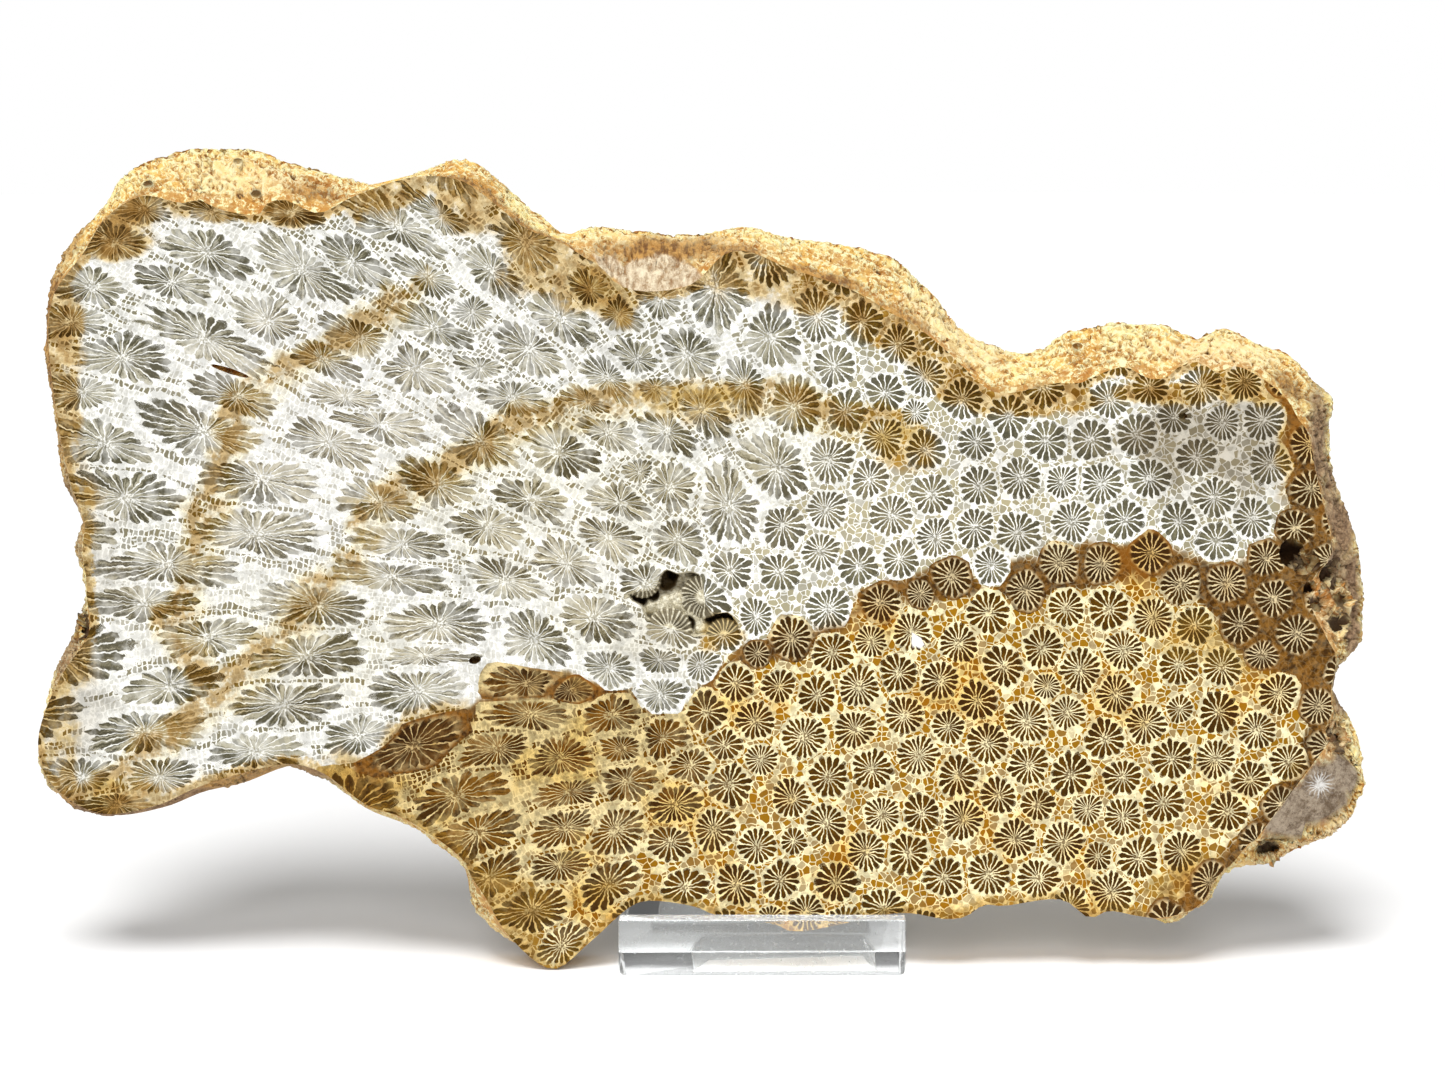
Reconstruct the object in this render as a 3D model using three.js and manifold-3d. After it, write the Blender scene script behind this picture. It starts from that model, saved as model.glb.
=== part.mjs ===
// Fossil coral slice leaning on a clear acrylic stand.
// Millimetres, +Z up, the polished face looks toward -Y and the slab leans back toward +Y.
// The slab is drawn in its own frame (x across, y into the thickness, z up the face),
// and one mesh rotation leans it back.

import * as THREE from 'three';
import { mergeVertices } from 'three/addons/utils/BufferGeometryUtils.js';
import Module from 'manifold-3d';

const wasm = await Module();
wasm.setup();

// ---------------------------------------------------------------- driving dimensions

const LEAN_DEG = 8;
const SLAB_THICKNESS = 10;
const SLAB_LIFT = 0.4;          // height of the drawing's base line above the table
const FIT_GAP = 0.3;            // air left between the slab and the stand

const STAND_WIDTH = 50;
const STAND_CENTRE_X = 10.6;
const LIP_HEIGHT = 10;
const LIP_THICKNESS = 4;
const LIP_BACK_Y = 0.4;         // just clear of the slab's lower front edge
const EDGE_ROUND = 1.2;
const BASE_THICKNESS = 3.5;
const BASE_REACH = 50;          // length of the base, front of the lip to its back edge
const REST_THICKNESS = 4;
const REST_HEIGHT = 62;
const REST_FOOT_WIDTH = 38;
const REST_TOP_WIDTH = 26;
const REST_CORNER = 5;
const REST_START = 2.6;         // where the rest begins, inside the base

// Driving sizes of the rind, the broken skin between the two sawn faces.
const RIND_SAMPLES = 372;       // points round the edge, about 2.3 mm apart
const WIDEST_RING_SPREAD = 1.013;
const LUMP_SIZE = 7;
const LUMP_HEIGHT = 0.75;
const GRAIN_SIZE = 3.1;
const GRAIN_HEIGHT = 0.4;
const GRAIN_SHIFT = 40;         // in grains along x, so the grain and the lumps don't coincide

const MERGE_DISTANCE = 1e-4;    // corners closer than this are one corner
const STEPS_PER_SAMPLE = 8;     // how finely a curve is measured for each point set on it

// ---------------------------------------------------------------- outline

// The outline is drawn on a square grid: x to the right, y downward, from the top left corner.
const GRID_PER_MM = 5.7;
const GRID_CENTRE_X = 701.5;
const GRID_BASE_Y = 968;

// Each station is [face x, face y, widest x, widest y]: a point on the edge of the polished
// face, and the point of the widest outline beside it, out on the bulge of the rind.
const LEFT_EDGE = [
  [38, 742, 34, 742], [59, 680, 51, 678], [90, 630, 69, 626], [87, 600, 79, 598],
  [86, 576, 79, 574], [83, 556, 69, 556], [83, 540, 69, 541], [85, 525, 77, 526],
  [69, 478, 59, 478], [49, 350, 42, 350], [50, 310, 43, 309], [56, 290, 46, 288],
  [84, 252, 64, 250], [105, 219, 90, 220],
];
const TOP_EDGE = [
  [142, 196, 126, 176], [182, 203, 178, 154], [200, 200, 202, 149], [216, 208, 222, 147],
  [259, 214, 264, 153], [268, 203, 281, 161], [285, 200, 300, 166], [318, 213, 336, 175],
  [352, 197, 366, 183], [400, 180, 402, 177], [424, 176, 422, 172], [462, 181, 463, 161],
  [500, 208, 506, 186], [525, 228, 533, 215], [562, 243, 570, 235], [582, 256, 590, 227],
  [600, 266, 604, 228], [616, 283, 622, 231], [640, 291, 642, 233], [692, 284, 684, 235],
  [725, 254, 722, 228], [746, 251, 748, 227], [786, 267, 791, 237], [854, 291, 860, 249],
  [890, 312, 901, 265], [921, 330, 931, 293], [950, 354, 962, 325], [991, 391, 1020, 354],
  [1010, 393, 1041, 350], [1056, 383, 1069, 333], [1080, 383, 1088, 329],
  [1100, 374, 1112, 324], [1125, 367, 1136, 327], [1150, 379, 1160, 324],
  [1167, 377, 1181, 332], [1179, 367, 1199, 339], [1199, 362, 1219, 331],
  [1216, 372, 1241, 335], [1235, 366, 1260, 346], [1255, 374, 1281, 354],
  [1286, 398, 1313, 377],
];
const RIGHT_EDGE = [
  [1299, 420, 1336, 404], [1308, 432, 1334, 422], [1312, 448, 1330, 440],
  [1315, 468, 1333, 464], [1331, 540, 1357, 540], [1331, 556, 1363, 558],
  [1316, 574, 1364, 580], [1308, 594, 1369, 602], [1328, 640, 1367, 645],
  [1336, 656, 1356, 658], [1331, 690, 1338, 690], [1331, 718, 1351, 717],
  [1322, 732, 1358, 736], [1358, 764, 1367, 772], [1361, 785, 1368, 788],
  [1352, 806, 1361, 806], [1337, 826, 1353, 826], [1318, 838, 1341, 841],
  [1296, 846, 1321, 851], [1255, 840, 1281, 870], [1232, 864, 1238, 873],
  [1218, 876, 1226, 881], [1201, 904, 1214, 908], [1186, 912, 1199, 916],
];
const BOTTOM_EDGE = [
  [1160, 918, 1176, 935], [1138, 916, 1148, 921], [1108, 911, 1110, 916],
  [1090, 918, 1090, 922], [1063, 900, 1065, 904], [1002, 906, 1004, 910],
  [984, 905, 985, 909], [965, 917, 965, 921], [945, 919, 945, 924], [904, 913, 905, 918],
  [792, 930, 790, 940], [775, 923, 774, 931], [715, 915, 714, 921], [696, 907, 695, 912],
  [645, 901, 646, 904], [630, 907, 631, 910], [589, 943, 590, 945], [553, 969, 551, 960],
  [508, 935, 500, 942], [485, 897, 466, 911], [471, 876, 462, 880], [465, 862, 454, 868],
  [427, 832, 417, 838], [399, 816, 391, 830], [368, 806, 361, 817], [321, 772, 317, 783],
  [290, 764, 290, 774], [236, 775, 240, 793], [196, 788, 200, 801], [155, 806, 160, 816],
  [98, 813, 99, 823], [50, 782, 45, 791],
];
const STATIONS = [...LEFT_EDGE, ...TOP_EDGE, ...RIGHT_EDGE, ...BOTTOM_EDGE];

// The rind from the polished face (depth 0) to the sawn back (depth 1). Reach runs from the
// face outline (0) to the widest outline (1); rough scales the lumps.
const RIND_RINGS = [
  { depth: 0.00, reach: 0.00, rough: 0.0 },
  { depth: 0.07, reach: 0.20, rough: 0.4 },
  { depth: 0.22, reach: 0.48, rough: 0.8 },
  { depth: 0.42, reach: 0.76, rough: 1.0 },
  { depth: 0.63, reach: 0.95, rough: 1.0 },
  { depth: 0.82, reach: 1.00, rough: 0.9 },
  { depth: 0.95, reach: 0.90, rough: 0.5 },
  { depth: 1.00, reach: 0.78, rough: 0.0 },
];

// ---------------------------------------------------------------- pits, recess and facet

// Recess in the middle of the face where the matrix between four corallites has fallen out.
const RECESS_OUTLINE = [
  [627, 594], [640, 591], [652, 590], [657, 585], [661, 574], [667, 569], [677, 573],
  [689, 571], [699, 574], [703, 584], [706, 606], [716, 613], [728, 612], [736, 620],
  [739, 628], [728, 634], [704, 635], [694, 637], [684, 631], [668, 628], [646, 618],
  [641, 606], [632, 601],
];
const RECESS_DEPTH = 3.6;
const DOME_OVERRUN = 0.4;       // how far a dome runs on below the floor of the recess
// Corallites left standing in the recess: [x, y] on the grid, radius and crown depth in mm.
const RECESS_DOMES = [
  { at: [701, 594], radius: 3.5, crown: 0.15 },
  { at: [668, 627], radius: 3.7, crown: 0.15 },
  { at: [722, 635], radius: 2.8, crown: 0.25 },
];

// Holes in the polished face: grid place, half sizes in mm along x, y and z, a turn in degrees
// in the plane of the face, and how deep below the face the centre lies.
const FACE_HOLES = [
  { at: [1292, 553], half: [2.3, 5.2, 2.8], turn: 0, sunk: 0.2 },
  { at: [1307, 565], half: [2.6, 2.2, 1.7], turn: 20, sunk: 0.2 },
  { at: [1310, 589], half: [1.2, 2.8, 1.7], turn: -15, sunk: 0.3 },
  { at: [1317, 604], half: [1.4, 2.4, 1.3], turn: -60, sunk: 0.3 },
  { at: [475, 660], half: [1.1, 2.0, 0.7], turn: 15, sunk: 0.0 },
  { at: [1183, 416], half: [0.8, 1.6, 0.6], turn: 0, sunk: 0.0 },
  { at: [230, 371], half: [3.6, 1.6, 0.5], turn: -18, sunk: 0.0 },
];

// Pits in the rind: grid place and half size in mm. Each is centred on the rind's own surface.
// A pit is a little shallower than it is wide, and a little lower than that.
const PIT_SHAPE = [1, 0.9, 0.8];
const RIND_PITS = [
  { at: [1327, 575], half: 1.7 }, { at: [1342, 624], half: 1.5 }, { at: [1347, 600], half: 1.3 },
  { at: [1273, 855], half: 2.0 }, { at: [1340, 738], half: 1.0 }, { at: [78, 628], half: 1.3 },
  { at: [146, 182], half: 0.9 }, { at: [234, 158], half: 0.8 }, { at: [255, 193], half: 0.9 },
  { at: [1080, 345], half: 0.9 },
];

// The unpolished facet at the lower right falls away from this line on the face.
const FACET_LINE = [[1318, 757], [1252, 845]];
const FACET_SLOPE_DEG = 17;
const FACET_CUTTER_SIZE = 60;   // wide enough to clear the whole corner

// ---------------------------------------------------------------- stand window

// A window cut through the base behind the lip, narrower at the back.
const WINDOW_FRONT = { y: 1.2, left: -1.7, right: 30.4 };
const WINDOW_BACK = { y: 9.4, left: 0.6, right: 28.2 };

// ---------------------------------------------------------------- helpers

const fromGrid = ([gx, gy]) => new THREE.Vector2(
  (gx - GRID_CENTRE_X) / GRID_PER_MM, (GRID_BASE_Y - gy) / GRID_PER_MM);

function hash(ix, iy, iz) {
  const wave = Math.sin(ix * 127.1 + iy * 311.7 + iz * 74.7) * 43758.5453;
  return wave - Math.floor(wave);
}

// Smooth noise from -1 to 1, one cell per unit.
function noise(x, y, z) {
  const cell = [Math.floor(x), Math.floor(y), Math.floor(z)];
  const ease = [x - cell[0], y - cell[1], z - cell[2]].map((t) => t * t * (3 - 2 * t));
  let sum = 0;
  for (let corner = 0; corner < 8; corner++) {
    const step = [corner & 1, (corner >> 1) & 1, corner >> 2];
    const weight = step.reduce((w, on, axis) => w * (on ? ease[axis] : 1 - ease[axis]), 1);
    sum += weight * hash(cell[0] + step[0], cell[1] + step[1], cell[2] + step[2]);
  }
  return 2 * sum - 1;
}

function lumps(x, y, z) {
  return LUMP_HEIGHT * noise(x / LUMP_SIZE, y / LUMP_SIZE, z / LUMP_SIZE)
    + GRAIN_HEIGHT * noise(x / GRAIN_SIZE + GRAIN_SHIFT, y / GRAIN_SIZE, z / GRAIN_SIZE);
}

function indexedGeometry(positions, triangles) {
  const geometry = new THREE.BufferGeometry();
  geometry.setAttribute('position', new THREE.Float32BufferAttribute(positions, 3));
  geometry.setIndex(triangles);
  return geometry;
}

function toSolid(geometry) {
  const bare = geometry.clone();
  bare.deleteAttribute('normal');
  bare.deleteAttribute('uv');
  const merged = mergeVertices(bare, MERGE_DISTANCE);
  return new wasm.Manifold(new wasm.Mesh({
    numProp: 3,
    vertProperties: new Float32Array(merged.attributes.position.array),
    triVerts: new Uint32Array(merged.index.array),
  }));
}

function toGeometry(solid) {
  const mesh = solid.getMesh();
  const geometry = indexedGeometry(Array.from(mesh.vertProperties), Array.from(mesh.triVerts));
  const flat = geometry.toNonIndexed();
  flat.computeVertexNormals();
  return flat;
}

// A closed outline in the x-z plane, extruded along +y from one depth to another.
function extrudeIntoDepth(shape, nearY, farY, curveSegments = 6) {
  const geometry = new THREE.ExtrudeGeometry(shape, {
    depth: farY - nearY, bevelEnabled: false, curveSegments,
  });
  // The shape's y becomes z, and the extrusion runs toward +y.
  geometry.rotateX(Math.PI / 2);
  geometry.translate(0, farY, 0);
  return geometry;
}

// ---------------------------------------------------------------- slab

function loopCurves() {
  const closed = (points) => new THREE.CatmullRomCurve3(points, true, 'centripetal');
  const face = [];
  const widest = [];
  for (const [faceX, faceY, wideX, wideY] of STATIONS) {
    const inner = fromGrid([faceX, faceY]);
    const outer = fromGrid([wideX, wideY]).multiplyScalar(WIDEST_RING_SPREAD);
    face.push(new THREE.Vector3(inner.x, 0, inner.y));
    widest.push(new THREE.Vector3(outer.x, 0, outer.y));
  }
  return { face: closed(face), widest: closed(widest) };
}

// Curve parameters that step evenly along the length of the middle of the rind.
function evenParameters({ face, widest }, count) {
  const fine = count * STEPS_PER_SAMPLE;
  const travelled = [0];
  let last = face.getPoint(0).add(widest.getPoint(0));
  for (let i = 1; i <= fine; i++) {
    const next = face.getPoint(i / fine).add(widest.getPoint(i / fine));
    travelled.push(travelled[i - 1] + next.distanceTo(last) / 2);
    last = next;
  }
  const parameters = [];
  let i = 0;
  for (let k = 0; k < count; k++) {
    const target = travelled[fine] * k / count;
    while (travelled[i + 1] < target) i++;
    const part = (target - travelled[i]) / (travelled[i + 1] - travelled[i]);
    parameters.push((i + part) / fine);
  }
  return parameters;
}

function rindRing({ depth, reach, rough }, curves, parameters) {
  const y = depth * SLAB_THICKNESS;
  const ring = parameters.map((t) => curves.face.getPoint(t).lerp(curves.widest.getPoint(t), reach));
  return ring.map((point, i) => {
    const ahead = ring[(i + 1) % ring.length];
    const behind = ring[(i + ring.length - 1) % ring.length];
    const outward = new THREE.Vector3(behind.z - ahead.z, 0, ahead.x - behind.x).normalize();
    const push = rough * lumps(point.x, y, point.z);
    return new THREE.Vector3(point.x, y, point.z).addScaledVector(outward, push);
  });
}

// Triangles that close a flat ring, facing -y when towardFront is true.
function capTriangles(ring, firstIndex, towardFront) {
  const contour = ring.map((point) => new THREE.Vector2(point.x, point.z));
  return THREE.ShapeUtils.triangulateShape(contour, []).flatMap(([a, b, c]) => {
    const ab = contour[b].clone().sub(contour[a]);
    const ac = contour[c].clone().sub(contour[a]);
    const facesFront = ab.cross(ac) > 0;
    const corners = facesFront === towardFront ? [a, b, c] : [a, c, b];
    return corners.map((corner) => corner + firstIndex);
  });
}

function slabBlank(curves) {
  const parameters = evenParameters(curves, RIND_SAMPLES);
  const rings = RIND_RINGS.map((ring) => rindRing(ring, curves, parameters));
  const positions = rings.flat().flatMap((point) => point.toArray());
  const count = RIND_SAMPLES;
  const triangles = capTriangles(rings[0], 0, true);
  for (let ring = 0; ring + 1 < rings.length; ring++) {
    for (let i = 0; i < count; i++) {
      const next = (i + 1) % count;
      const near = ring * count;
      const far = near + count;
      triangles.push(near + i, near + next, far + i);
      triangles.push(near + next, far + next, far + i);
    }
  }
  const lastRing = rings.length - 1;
  triangles.push(...capTriangles(rings[lastRing], lastRing * count, false));
  return toSolid(indexedGeometry(positions, triangles));
}

function ellipsoid(half, detail) {
  const geometry = new THREE.IcosahedronGeometry(1, detail);
  geometry.scale(...half);
  return geometry;
}

function recessCutter() {
  const outline = new THREE.Shape();
  outline.setFromPoints(new THREE.SplineCurve(
    [...RECESS_OUTLINE, RECESS_OUTLINE[0]].map(fromGrid)).getPoints(RECESS_OUTLINE.length * 2));
  let cutter = toSolid(extrudeIntoDepth(outline, -1, RECESS_DEPTH));
  for (const { at, radius, crown } of RECESS_DOMES) {
    const centre = fromGrid(at);
    const height = RECESS_DEPTH + DOME_OVERRUN;
    const dome = ellipsoid([radius, height, radius], 2);
    dome.translate(centre.x, crown + height, centre.y);
    cutter = cutter.subtract(toSolid(dome));
  }
  return cutter;
}

function holeCutter({ at, half, turn, sunk }) {
  const centre = fromGrid(at);
  const hole = ellipsoid(half, 1);
  hole.rotateY(-THREE.MathUtils.degToRad(turn));
  hole.translate(centre.x, sunk, centre.y);
  return toSolid(hole);
}

// How deep the rind's surface lies at a place between the two outlines.
function rindDepthAt(place, curves) {
  let nearest = { gap: Infinity, reach: 0 };
  for (let i = 0; i < RIND_SAMPLES; i++) {
    const face = curves.face.getPoint(i / RIND_SAMPLES);
    const across = curves.widest.getPoint(i / RIND_SAMPLES).sub(face);
    const offset = place.clone().sub(face);
    const reach = THREE.MathUtils.clamp(offset.dot(across) / across.lengthSq(), 0, 1);
    const gap = offset.addScaledVector(across, -reach).length();
    if (gap < nearest.gap) nearest = { gap, reach };
  }
  const outer = RIND_RINGS.findIndex((ring) => ring.reach >= nearest.reach);
  const inner = Math.max(outer - 1, 0);
  const [near, far] = [RIND_RINGS[inner], RIND_RINGS[outer]];
  const part = (nearest.reach - near.reach) / (far.reach - near.reach || 1);
  return SLAB_THICKNESS * (near.depth + part * (far.depth - near.depth));
}

function pitCutter({ at, half }, curves) {
  const centre = fromGrid(at);
  const depth = rindDepthAt(new THREE.Vector3(centre.x, 0, centre.y), curves);
  const pit = ellipsoid(PIT_SHAPE.map((share) => share * half), 1);
  pit.translate(centre.x, depth, centre.y);
  return toSolid(pit);
}

// A box whose underside is the facet: it starts on the facet line and sinks away from it.
function facetCutter() {
  const size = FACET_CUTTER_SIZE;
  const [from, to] = FACET_LINE.map(fromGrid);
  const middle = from.clone().add(to).multiplyScalar(0.5);
  const along = new THREE.Vector3(to.x - from.x, 0, to.y - from.y).normalize();
  const away = new THREE.Vector3(along.z, 0, -along.x);
  if (away.x < 0) away.negate();
  const slope = THREE.MathUtils.degToRad(FACET_SLOPE_DEG);
  const down = away.clone().multiplyScalar(Math.cos(slope)).add(
    new THREE.Vector3(0, Math.sin(slope), 0));
  const out = new THREE.Vector3().crossVectors(along, down);
  if (out.y > 0) out.negate();
  const box = new THREE.BoxGeometry(size, size, size);
  const start = new THREE.Vector3(middle.x, 0, middle.y)
    .addScaledVector(down, size / 2).addScaledVector(out, size / 2);
  const third = new THREE.Vector3().crossVectors(down, out);
  box.applyMatrix4(new THREE.Matrix4().makeBasis(down, out, third).setPosition(start));
  return toSolid(box);
}

function coralSlice() {
  const curves = loopCurves();
  let slab = slabBlank(curves).subtract(facetCutter()).subtract(recessCutter());
  for (const hole of FACE_HOLES) slab = slab.subtract(holeCutter(hole));
  for (const pit of RIND_PITS) slab = slab.subtract(pitCutter(pit, curves));
  const material = new THREE.MeshStandardMaterial({
    color: 0xcdb98f, roughness: 0.4, metalness: 0,
  });
  const mesh = new THREE.Mesh(toGeometry(slab), material);
  mesh.name = 'coral_slice';
  mesh.rotation.x = -THREE.MathUtils.degToRad(LEAN_DEG);
  mesh.position.z = SLAB_LIFT;
  return mesh;
}

// ---------------------------------------------------------------- stand

// A bar across the stand, rounded along its two lower edges.
function barSolid(height, frontY, backY) {
  const left = STAND_CENTRE_X - STAND_WIDTH / 2;
  const right = STAND_CENTRE_X + STAND_WIDTH / 2;
  const shape = new THREE.Shape();
  shape.moveTo(left, height);
  shape.lineTo(left, EDGE_ROUND);
  shape.quadraticCurveTo(left, 0, left + EDGE_ROUND, 0);
  shape.lineTo(right - EDGE_ROUND, 0);
  shape.quadraticCurveTo(right, 0, right, EDGE_ROUND);
  shape.lineTo(right, height);
  shape.closePath();
  return toSolid(extrudeIntoDepth(shape, frontY, backY));
}

function windowCutter() {
  const outline = new THREE.Shape([
    new THREE.Vector2(WINDOW_FRONT.left, WINDOW_FRONT.y),
    new THREE.Vector2(WINDOW_FRONT.right, WINDOW_FRONT.y),
    new THREE.Vector2(WINDOW_BACK.right, WINDOW_BACK.y),
    new THREE.Vector2(WINDOW_BACK.left, WINDOW_BACK.y),
  ]);
  const geometry = new THREE.ExtrudeGeometry(outline, {
    depth: 3 * BASE_THICKNESS, bevelEnabled: false,
  });
  geometry.translate(0, 0, -BASE_THICKNESS);
  return toSolid(geometry);
}

// The back rest leans with the slab, a fit gap behind its sawn back.
function restSolid() {
  const foot = REST_FOOT_WIDTH / 2;
  const top = REST_TOP_WIDTH / 2;
  const shape = new THREE.Shape();
  shape.moveTo(-foot, REST_START);
  shape.lineTo(foot, REST_START);
  shape.lineTo(top, REST_HEIGHT - REST_CORNER);
  shape.quadraticCurveTo(top, REST_HEIGHT, top - REST_CORNER, REST_HEIGHT);
  shape.lineTo(REST_CORNER - top, REST_HEIGHT);
  shape.quadraticCurveTo(-top, REST_HEIGHT, -top, REST_HEIGHT - REST_CORNER);
  shape.closePath();
  const nearY = SLAB_THICKNESS + FIT_GAP;
  const geometry = extrudeIntoDepth(shape, nearY, nearY + REST_THICKNESS);
  geometry.rotateX(-THREE.MathUtils.degToRad(LEAN_DEG));
  geometry.translate(STAND_CENTRE_X, 0, SLAB_LIFT);
  return toSolid(geometry);
}

function displayStand() {
  const frontY = LIP_BACK_Y - LIP_THICKNESS;
  const lip = barSolid(LIP_HEIGHT, frontY, LIP_BACK_Y);
  const base = barSolid(BASE_THICKNESS, LIP_BACK_Y - LIP_THICKNESS / 2, frontY + BASE_REACH);
  const stand = lip.add(base).subtract(windowCutter()).add(restSolid());
  const material = new THREE.MeshStandardMaterial({
    color: 0xeaf2f4, roughness: 0.05, metalness: 0,
  });
  const mesh = new THREE.Mesh(toGeometry(stand), material);
  mesh.name = 'display_stand';
  return mesh;
}

// ---------------------------------------------------------------- object

const group = new THREE.Group();
group.add(coralSlice(), displayStand());

// The origin is the middle of the underside of the whole object.
group.updateMatrixWorld(true);
const bounds = new THREE.Box3().setFromObject(group, true);
const centre = bounds.getCenter(new THREE.Vector3());
group.position.set(-centre.x, -centre.y, -bounds.min.z);

export default group;
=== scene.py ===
"""Fossil coral slice on a clear acrylic stand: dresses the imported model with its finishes."""
import math

import bmesh
import bpy
import numpy as np
from bpy.props import FloatProperty, FloatVectorProperty, IntProperty, PointerProperty
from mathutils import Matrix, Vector
from mathutils.geometry import delaunay_2d_cdt


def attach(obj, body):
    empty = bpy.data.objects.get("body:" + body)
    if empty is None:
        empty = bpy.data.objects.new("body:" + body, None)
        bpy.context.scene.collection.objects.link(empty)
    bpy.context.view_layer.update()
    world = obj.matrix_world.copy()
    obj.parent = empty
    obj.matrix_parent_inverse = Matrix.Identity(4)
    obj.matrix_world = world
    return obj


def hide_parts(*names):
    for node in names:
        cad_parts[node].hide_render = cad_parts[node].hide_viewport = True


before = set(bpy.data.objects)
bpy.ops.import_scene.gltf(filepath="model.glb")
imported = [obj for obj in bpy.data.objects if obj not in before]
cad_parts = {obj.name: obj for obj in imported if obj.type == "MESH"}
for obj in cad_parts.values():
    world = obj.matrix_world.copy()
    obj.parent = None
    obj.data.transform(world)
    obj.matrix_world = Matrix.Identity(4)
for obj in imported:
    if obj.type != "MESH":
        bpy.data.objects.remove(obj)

bl_info = {
    "name": "Fossil coral slice",
    "version": (1, 0, 0),
    "blender": (4, 5, 0),
    "location": "View3D > Sidebar > Fossil coral",
    "description": "Finishes for a polished fossil coral slab leaning on an acrylic stand",
    "category": "Object",
}

MM = 0.001

# ---------------------------------------------------------------- the slab's own frame

LEAN = math.radians(8)
SLAB_LIFT = 0.4 * MM            # height of the outline's base line above the table
FLAT = 0.9999                   # how squarely a triangle of the flat cuts faces along their normal
ACROSS = np.array([1.0, 0.0, 0.0])
UP_FACE = np.array([0.0, math.sin(LEAN), math.cos(LEAN)])
INTO_STONE = np.array([0.0, math.cos(LEAN), -math.sin(LEAN)])

# The outline and every stain are drawn on one square grid, x to the right, y downward.
GRID_PER_MM = 5.7
GRID_CENTRE_X = 701.5
GRID_BASE_Y = 968.0


def cad_mesh(node):
    """A merged copy of a CAD node's mesh, as a bmesh."""
    mesh = bmesh.new()
    mesh.from_mesh(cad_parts[node].data)
    bmesh.ops.remove_doubles(mesh, verts=mesh.verts, dist=0.001 * MM)
    mesh.faces.ensure_lookup_table()
    return mesh


SLAB_CORNERS = np.array([v.co[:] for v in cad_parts["coral_slice"].data.vertices])


def face_origin():
    """The point of the polished plane that lies on the grid's centre and base line."""
    plane = (SLAB_CORNERS @ -INTO_STONE).max()
    return np.array([0.0, (math.sin(LEAN) * SLAB_LIFT - plane) / math.cos(LEAN), SLAB_LIFT])


ORIGIN = face_origin()
SLAB_THICKNESS = max((corner - ORIGIN) @ INTO_STONE for corner in SLAB_CORNERS) / MM     # in mm


def from_grid(points):
    """Grid coordinates to millimetres on the face: x to the right, y up the face."""
    points = np.asarray(points, float)
    return np.stack([(points[..., 0] - GRID_CENTRE_X) / GRID_PER_MM,
                     (GRID_BASE_Y - points[..., 1]) / GRID_PER_MM], axis=-1)


def to_grid(points):
    """Millimetres on the face to grid coordinates."""
    return np.stack([points[..., 0] * GRID_PER_MM + GRID_CENTRE_X,
                     GRID_BASE_Y - points[..., 1] * GRID_PER_MM], axis=-1)


def to_world(places, depth):
    """Millimetres on the face, and millimetres into the stone, to metres in the row frame."""
    depth = np.broadcast_to(depth, places.shape[:-1])
    return (ORIGIN + MM * (places[..., :1] * ACROSS + places[..., 1:2] * UP_FACE
                           + depth[..., None] * INTO_STONE))


def to_slab(points):
    """Metres in the row frame to (x on the face, y on the face, depth), in millimetres."""
    offset = (np.asarray(points, float) - ORIGIN) / MM
    return np.stack([offset @ ACROSS, offset @ UP_FACE, offset @ INTO_STONE], axis=-1)


# ---------------------------------------------------------------- small number helpers

def smooth_step(low, high, value):
    """Eases from 0 at low to 1 at high."""
    part = np.clip((value - low) / (high - low), 0, 1)
    return part * part * (3 - 2 * part)


def lattice_hash(ix, iy, seed):
    """A number from 0 to 1 that looks random, the same each time for the same whole numbers."""
    wave = np.sin(ix * 127.1 + iy * 311.7 + seed * 74.7) * 43758.5453
    return wave - np.floor(wave)


def value_noise(points, size, seed=0):
    """Smooth noise from 0 to 1 over points in the plane, one cell per size."""
    scaled = points / size
    cell = np.floor(scaled)
    ease = scaled - cell
    ease = ease * ease * (3 - 2 * ease)
    total = 0
    for dx in (0, 1):
        for dy in (0, 1):
            weight = ((ease[..., 0] if dx else 1 - ease[..., 0])
                      * (ease[..., 1] if dy else 1 - ease[..., 1]))
            total = total + weight * lattice_hash(cell[..., 0] + dx, cell[..., 1] + dy, seed)
    return total


def distance_to_line(points, line, closed=False):
    """Shortest distance from each point to a line of straight stretches."""
    line = np.asarray(line, float)
    ends = np.roll(line, -1, axis=0) if closed else line[1:]
    starts = line if closed else line[:-1]
    nearest = np.full(len(points), np.inf)
    for start, end in zip(starts, ends):
        along = end - start
        part = np.clip(((points - start) @ along) / max(along @ along, 1e-12), 0, 1)
        gap = np.linalg.norm(points - start - part[:, None] * along, axis=1)
        nearest = np.minimum(nearest, gap)
    return nearest


def inside_edges(points, starts, ends):
    """Even-odd test of points against a set of edges that close on themselves."""
    inside = np.zeros(len(points), bool)
    px, py = points[:, 0], points[:, 1]
    for (x0, y0), (x1, y1) in zip(starts, ends):
        if y0 == y1:
            continue
        crosses = (y0 > py) != (y1 > py)
        inside ^= crosses & (px < (x1 - x0) * (py - y0) / (y1 - y0) + x0)
    return inside


def signed_distance(points, outline):
    """Positive inside a closed outline, negative outside."""
    outline = np.asarray(outline, float)
    inside = inside_edges(points, outline, np.roll(outline, -1, axis=0))
    return distance_to_line(points, outline, closed=True) * np.where(inside, 1, -1)


# ---------------------------------------------------------------- the colony

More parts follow.
